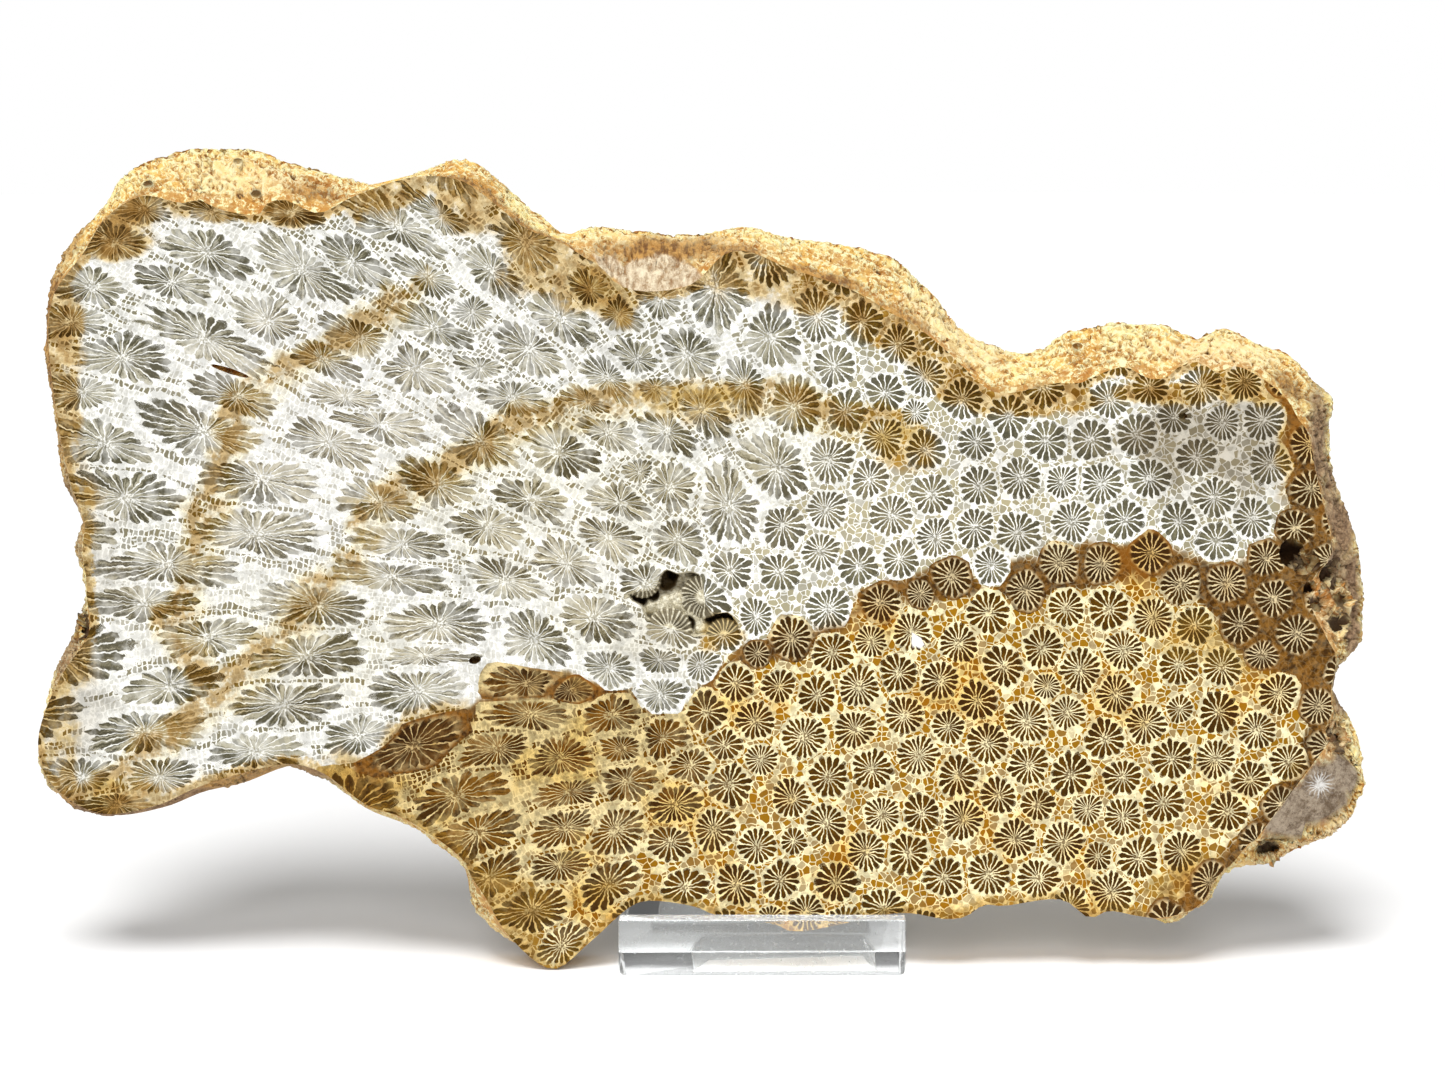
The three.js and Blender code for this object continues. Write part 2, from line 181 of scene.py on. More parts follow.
# Corallites that read one by one: [x, y, half length, half width, turn in degrees], on the
# grid. A positive turn falls to the right. The rest are packed around them.
DRAWN_OUT_LEFT = [
    (145, 210, 36, 13, 8), (115, 242, 36, 18, 12), (212, 212, 40, 11, 8), (292, 214, 34, 13, 12),
    (207, 253, 50, 21, 18), (303, 270, 72, 20, 31), (352, 262, 52, 15, 36), (172, 283, 45, 19, 12),
    (92, 287, 36, 17, 8), (400, 228, 62, 17, 33), (442, 216, 44, 14, 38), (205, 338, 80, 19, 28),
    (72, 322, 30, 16, 3), (122, 357, 48, 18, 4), (268, 322, 42, 16, 30), (82, 392, 32, 14, 3),
    (237, 397, 48, 19, 22), (205, 432, 72, 21, 12), (105, 443, 46, 17, 8), (330, 442, 50, 19, 20),
    (345, 398, 40, 14, 15), (322, 359, 46, 14, 30), (360, 337, 44, 15, 32), (262, 478, 62, 18, 6),
    (125, 498, 55, 20, 7), (255, 535, 64, 18, 3), (380, 503, 42, 18, 14), (402, 545, 52, 17, 6),
    (392, 576, 66, 16, 4), (168, 565, 72, 18, 2), (145, 603, 56, 16, 0), (208, 638, 62, 17, -4),
    (318, 605, 60, 18, 2), (438, 625, 58, 20, 4), (306, 657, 60, 20, -4), (170, 686, 56, 19, -5),
    (284, 704, 60, 20, -3), (145, 732, 68, 20, -3), (254, 752, 50, 17, -5), (160, 777, 44, 18, -5),
    (82, 778, 42, 18, -8), (118, 803, 40, 10, 0), (360, 736, 36, 18, -6), (425, 656, 42, 11, -3),
]
DRAWN_OUT_MIDDLE = [
    (418, 691, 48, 23, -8), (527, 684, 42, 17, -2), (535, 640, 40, 25, 30), (594, 618, 38, 24, 20),
    (505, 580, 48, 17, 18), (567, 563, 40, 22, 28), (488, 526, 42, 21, 14), (530, 500, 45, 20, 18),
    (608, 537, 36, 23, 22), (437, 485, 45, 21, 22), (620, 503, 40, 19, 16), (668, 487, 30, 24, 10),
    (677, 540, 24, 22, 0), (525, 242, 44, 25, 45), (492, 270, 45, 17, 42), (428, 277, 42, 14, 35),
    (472, 312, 24, 14, 25), (560, 318, 44, 26, 42), (590, 290, 26, 18, 45), (618, 314, 30, 17, 30),
    (660, 298, 24, 20, 0), (435, 328, 58, 13, 28), (530, 349, 42, 22, 30), (637, 360, 30, 20, 30),
    (688, 355, 30, 24, 20), (415, 368, 42, 17, 22), (480, 368, 30, 14, 20), (512, 398, 38, 19, 22),
    (608, 378, 34, 20, 38), (655, 388, 24, 15, 20), (588, 402, 28, 13, 30), (702, 410, 26, 26, 20),
    (380, 425, 60, 15, 14), (482, 442, 48, 23, 30), (560, 452, 50, 22, 28), (668, 432, 30, 22, 10),
    (608, 432, 40, 15, 30), (640, 472, 18, 14, 0),
]
DRAWN_OUT_GOLD = [
    (413, 745, 52, 20, -28), (530, 714, 44, 17, -2), (498, 749, 38, 16, -14),
    (456, 796, 52, 19, -18), (478, 832, 40, 18, -20), (490, 877, 32, 15, -30),
    (560, 758, 32, 20, 0), (570, 792, 30, 14, -6), (566, 828, 34, 17, -20), (612, 715, 30, 18, 0),
    (621, 748, 23, 14, 0), (626, 781, 26, 18, -10), (615, 830, 28, 21, -25),
    (560, 865, 28, 14, -10), (608, 885, 32, 20, -25), (532, 911, 40, 17, -20),
    (562, 946, 28, 16, -35), (662, 738, 21, 20, 0), (690, 765, 24, 16, 0), (675, 805, 25, 20, 0),
    (670, 842, 24, 17, 0), (685, 887, 26, 18, -10), (706, 712, 21, 20, 0),
]
ROUND_ONES = [
    (646, 583, 27, 20, 0), (703, 598, 24, 24, 0), (671, 629, 27, 25, 0), (724, 634, 20, 17, 0),
    (730, 571, 21, 21, 0), (756, 617, 18, 20, 0), (660, 660, 21, 16, 0), (608, 668, 25, 18, 8),
    (700, 665, 18, 16, 0), (660, 694, 22, 18, 0), (570, 690, 26, 14, 0), (1297, 634, 22, 22, 0),
    (1262, 655, 18, 16, 0), (1257, 730, 20, 19, 0), (1289, 762, 20, 19, 0), (1250, 780, 20, 20, 0),
    (1228, 812, 21, 20, 0), (1337, 785, 20, 18, 0),
]
NAMED_CORALLITES = DRAWN_OUT_LEFT + DRAWN_OUT_MIDDLE + DRAWN_OUT_GOLD + ROUND_ONES

# The corallites fan out from here. To its left they are cut along their length.
GROWTH_FOCUS = from_grid((855, 655))
CROSS_CUT_REACH = 120 / GRID_PER_MM       # within this they are cut square across
DRAW_OUT_LENGTH = 218 / GRID_PER_MM       # how soon they lengthen beyond it

PACKED_RADII = (22, 21, 20, 19, 18, 16.5, 15)     # grid units, largest first
PACKED_SIZES = (0.93, 1.05)               # least and greatest share of those radii
PACKED_GAP = -0.7                         # grid units; they may overlap before they are trimmed
LENGTH_POWER, WIDTH_POWER = 0.85, 0.3     # how the stretch shares out over length and width
WIDTH_STRETCH = 2                         # greatest stretch that still widens them
LARGER_DRAWN_OUT = 0.28                   # how much larger the drawn-out ones are
SWELL = 0.07                              # how much every outline grows until it meets others
SWELL_DRAWN_OUT = 0.7                     # and how much more the drawn-out ones grow
PACK_MARGIN = 24                          # grid units packed beyond the face's own edge
PACKING_SPOTS = 34000
SMALL_SIZE, LONG_SIZE = 2.5, 6            # mm, half sizes that settle how many septa there are
SEPTA_SMALL = [10, 11, 12, 13]
SEPTA_LARGE = [14, 15, 16, 17, 18, 19, 20]
SEPTA_MORE = 3                            # added in the longest ones
STEPS_SHORT, STEPS_LONG = 28, 40          # points of an outline,
LONG_OUTLINE = 5                          # and the half length in mm where they change
TRIM_STEP, LEAST_REACH = 0.03, 0.3        # how finely and how far outlines are pulled back


def drawn_share(offset):
    """How far (0 to 1) corallites in this direction from the focus are drawn out."""
    angle = np.degrees(np.arctan2(offset[..., 1], -offset[..., 0]))
    above = 1 - smooth_step(58, 100, angle)
    below = 1 - smooth_step(12, 62, -angle)
    return np.where(angle > 0, above, below)


def fan_place(points):
    """Direction from the focus in radians, distance from it in mm, and how far drawn out."""
    offset = points - GROWTH_FOCUS
    reach = np.linalg.norm(offset, axis=-1)
    drawn = drawn_share(offset) * smooth_step(CROSS_CUT_REACH, CROSS_CUT_REACH + 18, reach)
    return np.stack([np.arctan2(offset[..., 1], -offset[..., 0]), reach, drawn], -1)


def draw_out(points):
    """How strongly corallites at each point are stretched away from the focus, from 1 up."""
    offset = points - GROWTH_FOCUS
    beyond = np.maximum(np.linalg.norm(offset, axis=-1) - CROSS_CUT_REACH, 0)
    share = drawn_share(offset)
    rate = (1 - share) + share / (1 + beyond / DRAW_OUT_LENGTH)
    return 1 / rate


def axes_matrix(half_length, half_width, turn):
    """Columns are the long and short half axes, in millimetres; turn is clockwise in radians."""
    along = np.array([math.cos(turn), -math.sin(turn)])
    across = np.array([math.sin(turn), math.cos(turn)])
    return np.stack([along * half_length, across * half_width], axis=1)


def support(inverse_axes, directions):
    """Radius of ellipses along unit directions."""
    reach = np.linalg.norm(np.einsum("nij,nj->ni", inverse_axes, directions), axis=1)
    return 1 / np.maximum(reach, 1e-9)


def pack_corallites(starts, ends, seed):
    """The named corallites, and others packed tightly around them, largest first."""
    draws = np.random.default_rng(seed)
    centres, axes = [], []
    for x, y, half_length, half_width, turn in NAMED_CORALLITES:
        centres.append(from_grid((x, y)))
        axes.append(axes_matrix(half_length / GRID_PER_MM, half_width / GRID_PER_MM,
                                math.radians(turn)))
    margin = PACK_MARGIN / GRID_PER_MM
    spots = draws.uniform(starts.min(0) - margin, starts.max(0) + margin, (PACKING_SPOTS, 2))
    spots = spots[inside_edges(spots, starts, ends)
                  | (rim_distance(spots, starts, ends, margin) < margin * 0.99)]
    stretch, drawn = draw_out(spots), fan_place(spots)[:, 2]
    offset = GROWTH_FOCUS - spots
    turns = -np.arctan2(offset[:, 1], offset[:, 0])
    for radius in PACKED_RADII:
        size = radius / GRID_PER_MM * draws.uniform(*PACKED_SIZES, len(spots))
        size = size * (1 + LARGER_DRAWN_OUT * drawn)
        long_half = size * stretch ** LENGTH_POWER
        wide_half = size * np.minimum(stretch, WIDTH_STRETCH) ** WIDTH_POWER
        cosine, sine = np.cos(turns), np.sin(turns)
        own = np.stack([np.stack([cosine * long_half, sine * wide_half], -1),
                        np.stack([-sine * long_half, cosine * wide_half], -1)], 1)
        own_inverse = np.linalg.inv(own)
        clearance = np.full(len(spots), np.inf)

        def update(centre, matrix, clearance):
            away = spots - centre
            gap = np.linalg.norm(away, axis=1)
            direction = away / np.maximum(gap, 1e-9)[:, None]
            other = np.broadcast_to(np.linalg.inv(matrix), own_inverse.shape)
            needed = support(own_inverse, direction) + support(other, direction)
            return np.minimum(clearance, gap - needed - PACKED_GAP / GRID_PER_MM)

        for centre, matrix in zip(centres, axes):
            clearance = update(centre, matrix, clearance)
        while True:
            fitting = np.where(clearance >= 0, clearance, np.inf)
            best = int(np.argmin(fitting))
            if np.isinf(fitting[best]):
                break
            centres.append(spots[best])
            axes.append(own[best])
            clearance = update(spots[best], own[best], clearance)
            clearance[best] = -1
    centres = np.array(centres)
    swell = 1 + SWELL + SWELL_DRAWN_OUT * fan_place(centres)[:, 2]
    return centres, np.array(axes) * swell[:, None, None]


class Corallite:
    """One corallite of the cut: its centre, its half axes and its own jagged outline."""

    def __init__(self, centre, axes, draws):
        self.centre, self.axes = centre, axes
        self.inverse = np.linalg.inv(axes)
        self.long_half = np.linalg.norm(axes[:, 0])
        self.wide_half = np.linalg.norm(axes[:, 1])
        size = math.sqrt(self.long_half * self.wide_half)
        self.steps = STEPS_SHORT if self.long_half < LONG_OUTLINE else STEPS_LONG
        self.septa = float(draws.choice(SEPTA_SMALL if size < SMALL_SIZE else SEPTA_LARGE))
        if self.long_half > LONG_SIZE:
            self.septa += SEPTA_MORE
        self.spin = draws.uniform(0, 2 * math.pi)
        self.seed = draws.uniform(0, 1)
        self.angles = np.arange(self.steps) * 2 * math.pi / self.steps
        wobble = 0.045 * np.sin(self.angles * 2 + draws.uniform(0, 6))
        wobble += 0.035 * np.sin(self.angles * 3 + draws.uniform(0, 6))
        self.reach = 1 + wobble + draws.uniform(-0.035, 0.035, self.steps)

    def local(self, points):
        """Points on the face measured in the corallite's own half axes."""
        return (points - self.centre) @ self.inverse.T

    def outline_points(self, share=1.0):
        """The outline, or the same shape at a share of its size."""
        ring = np.stack([np.cos(self.angles), np.sin(self.angles)], -1) * self.reach[:, None]
        return self.centre + (ring * share) @ self.axes.T

    def disc_place(self, points):
        """Place as (x, y) in a unit disc whose edge is the outline, and the distance out."""
        local = self.local(points)
        radius = np.linalg.norm(local, axis=1)
        angle = np.arctan2(local[:, 1], local[:, 0]) % (2 * math.pi)
        step = angle / (2 * math.pi) * self.steps
        low = np.floor(step).astype(int) % self.steps
        part = step - np.floor(step)
        edge = self.reach[low] * (1 - part) + self.reach[(low + 1) % self.steps] * part
        share = radius / edge
        flatness = math.sqrt(self.wide_half / self.long_half)
        turn = np.arctan2(local[:, 1] * flatness, local[:, 0]) + self.spin
        return np.stack([share * np.cos(turn), share * np.sin(turn)], -1), share


def trim_outlines(corallites, gap):
    """Pulls outlines back wherever two corallites would meet."""
    centres = np.array([c.centre for c in corallites])
    longest = np.array([c.long_half for c in corallites])
    for corallite in corallites:
        gaps = np.linalg.norm(centres - corallite.centre, axis=1)
        near = [j for j in np.nonzero(gaps < longest + corallite.long_half + 0.5)[0]
                if corallites[j] is not corallite]
        ring = np.stack([np.cos(corallite.angles), np.sin(corallite.angles)], -1)
        for k in range(corallite.steps):
            reach = corallite.reach[k]
            while reach > LEAST_REACH:
                point = corallite.centre + reach * corallite.axes @ ring[k]
                clear = all(np.linalg.norm(corallites[j].inverse @ (point - centres[j]))
                            >= reach + gap / corallites[j].wide_half for j in near)
                if clear:
                    break
                reach -= TRIM_STEP
            corallite.reach[k] = reach


# ---------------------------------------------------------------- stains and painted glare

# Lines on the grid. The close lists run on round the outside, off the slab.
GOLD_EDGE = [
    (330, 800), (345, 772), (375, 757), (400, 729), (451, 716), (496, 694), (537, 678), (566, 671),
    (582, 681), (636, 690), (639, 710), (687, 703), (719, 668), (735, 646), (776, 639), (818, 630),
    (821, 614), (856, 604), (859, 588), (888, 582), (930, 570), (960, 562), (990, 590),
    (1010, 560), (1060, 560), (1080, 545), (1140, 545), (1180, 552), (1235, 565), (1270, 548),
    (1280, 535), (1290, 510), (1283, 480), (1280, 450), (1283, 430), (1275, 400), (1265, 385),
]
GOLD_CLOSE = [(1265, 300), (1440, 300), (1440, 1040), (300, 1040)]
SEAM_LOWER_EDGE = [
    (1150, 918), (1170, 905), (1200, 880), (1240, 835), (1290, 765), (1310, 720), (1290, 684),
    (1240, 652), (1216, 622), (1190, 592), (1130, 575), (1090, 590), (1050, 595), (1000, 600),
    (900, 600), (860, 615), (830, 640), (800, 655), (740, 670), (700, 700), (640, 715), (560, 695),
    (500, 705), (455, 735), (400, 770), (380, 800),
]
SEAM_CLOSE = [(1265, 300), (1440, 300), (1440, 900), (1200, 960)]
TAN_BANDS = [
    [(400, 288), (380, 300), (345, 330), (300, 350), (270, 370), (235, 390), (220, 420),
     (215, 450), (205, 490), (190, 520), (185, 560), (175, 600), (155, 610), (150, 640),
     (215, 690), (150, 735), (110, 770), (90, 810)],
    [(900, 420), (880, 410), (830, 400), (780, 388), (720, 388), (660, 384), (600, 392),
     (570, 400), (520, 410), (470, 435), (440, 460), (390, 480), (365, 505), (350, 535),
     (335, 565), (300, 590), (280, 615), (262, 645), (232, 665), (200, 690)],
]
# How far the bands reach from their line, away from the focus and towards it, in grid units.
BAND_OUTSIDE, BAND_INSIDE = 9, 42
# Soft patches: [x, y, half length, half width, turn in degrees, strength].
BROWN_PATCHES = [
    (125, 215, 60, 22, -35, 1.0), (115, 245, 34, 20, 10, 0.95), (290, 213, 36, 14, 10, 1.0),
    (215, 210, 50, 12, 5, 0.6), (62, 330, 22, 60, 0, 0.75), (62, 410, 20, 50, 0, 0.7),
    (75, 500, 22, 60, 0, 0.45), (68, 640, 24, 60, 0, 0.7), (390, 195, 50, 16, -12, 0.75),
    (470, 200, 50, 30, 40, 0.7), (540, 255, 60, 34, 42, 0.7), (600, 285, 44, 30, 40, 0.8),
    (720, 265, 46, 22, 0, 0.75), (800, 285, 60, 26, 14, 0.8), (880, 320, 50, 26, 25, 0.8),
    (950, 375, 50, 26, 45, 0.75), (1050, 398, 60, 14, -5, 0.8), (1150, 392, 60, 13, 0, 0.8),
    (1235, 385, 46, 16, 20, 0.8), (1300, 450, 22, 60, 0, 0.7), (110, 802, 56, 22, 0, 0.85),
    (60, 740, 22, 50, 0, 0.4), (200, 790, 80, 14, -10, 0.5), (365, 780, 50, 26, 25, 0.7),
    (420, 735, 46, 26, -20, 0.9), (520, 270, 30, 26, 0, 0.4), (900, 445, 40, 30, 0, 0.5),
    (700, 400, 60, 26, 0, 0.35), (1210, 640, 50, 30, 20, 0.5), (1292, 792, 14, 46, 35, 0.9),
    (500, 915, 60, 44, 30, 0.7), (600, 895, 40, 14, -10, 0.4), (1190, 890, 46, 30, -30, 0.7),
    (720, 640, 30, 12, -10, 0.5), (480, 810, 60, 60, 0, 0.15),
]
GREY_PATCHES = [
    (1175, 440, 66, 44, 0, 0.85), (1245, 440, 50, 66, 0, 0.8), (1090, 440, 46, 30, 0, 0.4),
    (1215, 500, 70, 40, 0, 0.35), (595, 290, 28, 20, 40, 0.8), (618, 312, 26, 16, 20, 0.5),
    (290, 690, 60, 40, 0, 0.15), (1035, 545, 60, 16, 0, 0.3), (670, 640, 60, 40, 0, 0.3),
    (90, 560, 40, 90, 0, 0.3), (75, 720, 40, 50, 0, 0.45), (1000, 470, 60, 30, 0, 0.25),
]
# Painted glare: patches where the polish is painted paler and lower in contrast, as under a broad
# reflection.
PAINTED_GLARE_PATCHES = [
    (300, 430, 150, 120, 30, 0.85), (420, 400, 110, 60, 20, 0.7), (330, 560, 120, 60, 0, 0.5),
    (450, 650, 70, 40, 0, 0.5), (150, 600, 60, 70, 0, 0.35), (560, 560, 90, 60, 0, 0.3),
    (820, 520, 160, 60, 0, 0.25), (520, 340, 70, 40, 20, 0.3),
]
CREAM_PATCHES = [
    (560, 500, 190, 110, 0, 0.55), (330, 640, 120, 70, -10, 0.5), (790, 430, 110, 50, 5, 0.4),
    (640, 620, 110, 40, 0, 0.5), (900, 520, 200, 60, 0, 0.25), (200, 600, 100, 110, 0, 0.2),
]
# White chips in the front's polish, in the same form.
CHIPS = [(915, 638, 7, 6, 0, 1.3)]


def patch_field(points, patches, seed):
    """Strength of soft patches at points on the grid. The seed picks how their edges are torn."""
    ragged = (value_noise(points, 26, seed) - 0.5) * 0.55
    ragged = ragged + (value_noise(points, 9, seed) - 0.5) * 0.35
    field = np.zeros(len(points))
    for x, y, half_length, half_width, turn, strength in patches:
        angle = math.radians(turn)
        dx, dy = points[:, 0] - x, points[:, 1] - y
        along = (dx * math.cos(angle) + dy * math.sin(angle)) / half_length
        across = (-dx * math.sin(angle) + dy * math.cos(angle)) / half_width
        reach = np.sqrt(along ** 2 + across ** 2) + ragged
        field = np.maximum(field, strength * (1 - smooth_step(0.55, 1.25, reach)))
    return field


def stain_fields(points, owner_points):
    """Stain strengths, and the strength of painted glare, at points on the grid.
    owner_points are the centres of their corallites.
    """
    ragged = (value_noise(points, 17, 3) - 0.5) * 8 + (value_noise(points, 6, 4) - 0.5) * 4
    gold_depth = signed_distance(owner_points, GOLD_EDGE + GOLD_CLOSE)
    gold = smooth_step(-2, 2, gold_depth)
    seam_outline = GOLD_EDGE + SEAM_CLOSE + SEAM_LOWER_EDGE
    seam_depth = signed_distance(0.2 * points + 0.8 * owner_points, seam_outline)
    seam = smooth_step(-3, 5, seam_depth + ragged)
    band_shift = np.stack([value_noise(points, 34, 5), value_noise(points, 34, 6)], -1) * 16 - 8
    tan = np.zeros(len(points))
    outward = points - to_grid(GROWTH_FOCUS)
    outward = outward / np.linalg.norm(outward, axis=1)[:, None] * 4
    for line in TAN_BANDS:
        gap = distance_to_line(points + band_shift, line)
        within = distance_to_line(points + band_shift + outward, line) < gap
        reach = gap / np.where(within, BAND_INSIDE, BAND_OUTSIDE)
        tan = np.maximum(tan, 1 - smooth_step(0.1, 1.1, reach + ragged / 30))
    return {
        "gold": gold,
        "seam": seam,
        "tan": tan,
        "brown": patch_field(points, BROWN_PATCHES, 7),
        "grey": patch_field(points, GREY_PATCHES, 8),
        "painted_glare": patch_field(points, PAINTED_GLARE_PATCHES, 9),
        "cream": patch_field(points, CREAM_PATCHES, 10),
    }


# ---------------------------------------------------------------- the two cut faces

CELL_STEP = 1.25                # mm between the filling points among the corallites
SMALL_HOLES = [(475, 660, 14), (1183, 416, 12), (230, 371, 28)]     # [x, y, reach] on the grid
RIM_REACH = 6.0                 # mm inward from the rim that the distance to it is worked out
LEVEL_SLACK = 0.01              # mm that a flat cut's triangles may lie off its plane


def plane_edges(side):
    """Boundary edges, in millimetres on the face, of the flat front or back of the CAD slab."""
    outward = -INTO_STONE if side == "front" else INTO_STONE
    level = 0.0 if side == "front" else SLAB_THICKNESS * MM
    mesh = cad_mesh("coral_slice")
    flat = set()
    for face in mesh.faces:
        depth = (np.array(face.calc_center_median()) - ORIGIN) @ INTO_STONE
        if np.array(face.normal) @ outward > FLAT and abs(depth - level) < LEVEL_SLACK * MM:
            flat.add(face.index)
    ends = []
    for edge in mesh.edges:
        if sum(face.index in flat for face in edge.link_faces) == 1:
            ends.append([edge.verts[0].co[:], edge.verts[1].co[:]])
    mesh.free()
    places = to_slab(np.array(ends))[..., :2]
    return places[:, 0], places[:, 1]


def outer_rim(starts, ends):
    """The edges along the outside of a cut face, without its holes and seams."""
    middles, sideways = (starts + ends) / 2, (ends - starts)[:, ::-1] * (0.02, -0.02)
    real = (inside_edges(middles + sideways, starts, ends)
            != inside_edges(middles - sideways, starts, ends))
    real &= signed_distance(middles, from_grid(VUG_OUTLINE)) < -1.5
    for x, y, reach in SMALL_HOLES:
        real &= np.linalg.norm(middles - from_grid((x, y)), axis=1) > reach / GRID_PER_MM
    return starts[real], ends[real]


def wind(points, triangles, clockwise=False):
    """Turns the triangles that run the wrong way round."""
    first, second, third = (points[triangles[:, k]] for k in range(3))
    turn = ((second - first)[:, 0] * (third - first)[:, 1]
            - (second - first)[:, 1] * (third - first)[:, 0])
    wrong = turn > 0 if clockwise else turn < 0
    triangles[wrong] = triangles[wrong][:, ::-1]


class CutFace:
    """The triangles of one flat cut of the slab, each with the corallite it belongs to."""

    def __init__(self, side, corallites):
        starts, ends = plane_edges(side)
        points = [np.concatenate([starts, ends])]
        edges = [(k, k + len(starts)) for k in range(len(starts))]
        count = 2 * len(starts)
        outlines = []
        for corallite in corallites:
            ring = corallite.outline_points()
            points.append(ring)
            points.append(corallite.outline_points(0.5)[::2])
            points.append(corallite.centre[None])
            outlines.append(list(range(count, count + len(ring))))
            count += len(ring) + len(ring[::2]) + 1
        low, high = starts.min(0), starts.max(0)
        across = np.stack(np.meshgrid(np.arange(low[0], high[0], CELL_STEP),
                                      np.arange(low[1], high[1], CELL_STEP)), -1).reshape(-1, 2)
        across[:, 0] += (np.round(across[:, 1] / CELL_STEP) % 2) * CELL_STEP / 2
        for corallite in corallites:
            near = np.abs(across - corallite.centre).max(1) < corallite.long_half * 1.2
            near[near] = corallite.disc_place(across[near])[1] < 1.05
            across = across[~near]
        points.append(across)
        points = np.concatenate(points)
        vertices, _, faces, _, _, owners = delaunay_2d_cdt(
            [Vector(p) for p in points], edges, outlines, 0, 1e-5, True)
        self.points = np.array([v[:] for v in vertices])
        triangles = np.array(faces)
        owner = np.array([ids[0] if ids else -1 for ids in owners])
        middles = self.points[triangles].mean(axis=1)
        kept = inside_edges(middles, starts, ends)
        self.triangles, self.owner = triangles[kept], owner[kept]
        wind(self.points, self.triangles, clockwise=side == "back")
        self.edge_starts, self.edge_ends = starts, ends


def rim_distance(points, starts, ends, reach):
    """Distance to the nearest rim edge, worked out only as far as reach."""
    nearest = np.full(len(points), reach)
    for start, end in zip(starts, ends):
        close = np.nonzero(np.abs(points - (start + end) / 2).max(1) < reach + 3)[0]
        along = end - start
        part = np.clip(((points[close] - start) @ along) / max(along @ along, 1e-12), 0, 1)
        gap = np.linalg.norm(points[close] - start - part[:, None] * along, axis=1)
        nearest[close] = np.minimum(nearest[close], gap)
    return nearest


def cut_face_piece(name, side, corallites, material):
    """Builds one cut face as a piece, with the attributes that its stone reads."""
    cut = CutFace(side, corallites)
    used, triangles = np.unique(cut.triangles, return_inverse=True)
    triangles = triangles.reshape(-1, 3)
    places = cut.points[used]
    depth = 0.0 if side == "front" else SLAB_THICKNESS
    mesh = bpy.data.meshes.new(name)
    mesh.from_pydata(to_world(places, depth).tolist(), [], triangles.tolist())
    corner_places = places[triangles].reshape(-1, 2)
    corner_owner = np.repeat(cut.owner, 3)
    disc = np.full((len(corner_places), 2), (3.0, 0.0))
    traits = np.zeros((len(corner_places), 2))
    owner_places = corner_places.copy()
    for number, corallite in enumerate(corallites):
        own = np.nonzero(corner_owner == number)[0]
        if len(own):
            disc[own] = corallite.disc_place(corner_places[own])[0]
            traits[own] = corallite.septa, corallite.seed
            owner_places[own] = corallite.centre
    set_uv(mesh, "OFBake", square_map(corner_places))
    set_uv(mesh, "calice", disc)
    set_uv(mesh, "calice_traits", traits)
    stains = stain_fields(to_grid(corner_places), to_grid(owner_places))
    rim = rim_distance(places, *outer_rim(cut.edge_starts, cut.edge_ends), RIM_REACH)
    rim = rim[triangles].reshape(-1)
    set_colour(mesh, "stain_warm", stains["gold"], stains["seam"], stains["tan"], stains["brown"])
    set_colour(mesh, "stain_pale_and_glare", stains["grey"], stains["painted_glare"], stains["cream"], rim)
    set_number(mesh, "chip", patch_field(to_grid(places), CHIPS, 11) * (side == "front"))
    layer = mesh.attributes.new("fan", "FLOAT_VECTOR", "POINT")
    layer.data.foreach_set("vector", fan_place(places).ravel())
    return stone_piece(name, mesh, material)


def square_map(places):
    """Spreads the slab's face over a whole square, as the map for a baked texture."""
    corners = to_slab(SLAB_CORNERS)
    low, high = corners[:, :2].min(0) - 0.5, corners[:, :2].max(0) + 0.5
    return (places - low) / (high - low)


def set_uv(mesh, name, values):
    layer = mesh.uv_layers.new(name=name)
    layer.data.foreach_set("uv", np.asarray(values, float).ravel())


def set_number(mesh, name, values):
    layer = mesh.attributes.new(name, "FLOAT", "POINT")
    layer.data.foreach_set("value", values)


def set_colour(mesh, name, *channels, domain="CORNER"):
    layer = mesh.color_attributes.new(name, "FLOAT_COLOR", domain)
    layer.data.foreach_set("color", np.stack(channels, -1).ravel())


def stone_piece(name, mesh, material):
    """Links a mesh as a piece of the slab that rides on the root body."""
    piece = bpy.data.objects.new(name, mesh)
    bpy.context.scene.collection.objects.link(piece)
    mesh.materials.append(material)
    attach(piece, "root")
    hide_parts("coral_slice")
    return piece


# ---------------------------------------------------------------- the rough rind

FACET_STAR = (1321, 785)        # grid place of the worn corallite on the facet
FACET_CORNER = (1240, 740)      # the facet lies to the right of this and below it
LONGEST_EDGE = 2.4              # mm, past which the rind's edges are halved
FINENESS = 2                    # how often the rind's mesh is then subdivided

# Patches of the rind, in the form of the soft patches above.
DULL_RIND = [
    (1325, 430, 16, 60, 0, 0.95), (1345, 510, 22, 50, -10, 0.95), (1350, 560, 20, 24, 0, 0.8),
    (1363, 610, 12, 66, 0, 1.0), (1352, 690, 16, 34, 0, 0.9), (1340, 550, 26, 10, 0, 0.9),
    (1345, 790, 16, 16, 0, 0.3), (56, 640, 18, 70, 0, 0.8), (60, 520, 18, 70, 0, 0.65),
    (52, 760, 22, 50, 0, 0.7),
    (130, 815, 100, 22, -6, 0.9), (280, 790, 80, 20, -20, 0.7),
]
RUST_RIND = [
    (320, 182, 46, 14, 10, 0.95), (128, 205, 60, 14, -45, 0.7), (62, 280, 20, 36, 0, 0.6),
    (480, 180, 30, 22, 30, 0.5), (570, 250, 34, 12, 20, 0.6), (860, 262, 60, 12, 14, 0.6),
    (1100, 345, 40, 14, 0, 0.6), (1290, 372, 30, 18, 30, 0.5), (1190, 905, 30, 22, 0, 0.6),
    (470, 890, 20, 40, 0, 0.6), (350, 800, 40, 20, 20, 0.5), (55, 430, 16, 80, 0, 0.5),
    (1325, 735, 24, 20, 0, 0.4), (50, 700, 16, 60, 0, 0.45),
    (650, 255, 46, 20, 0, 0.9), (600, 245, 30, 14, 0, 0.6), (780, 255, 40, 14, 10, 0.5),
]
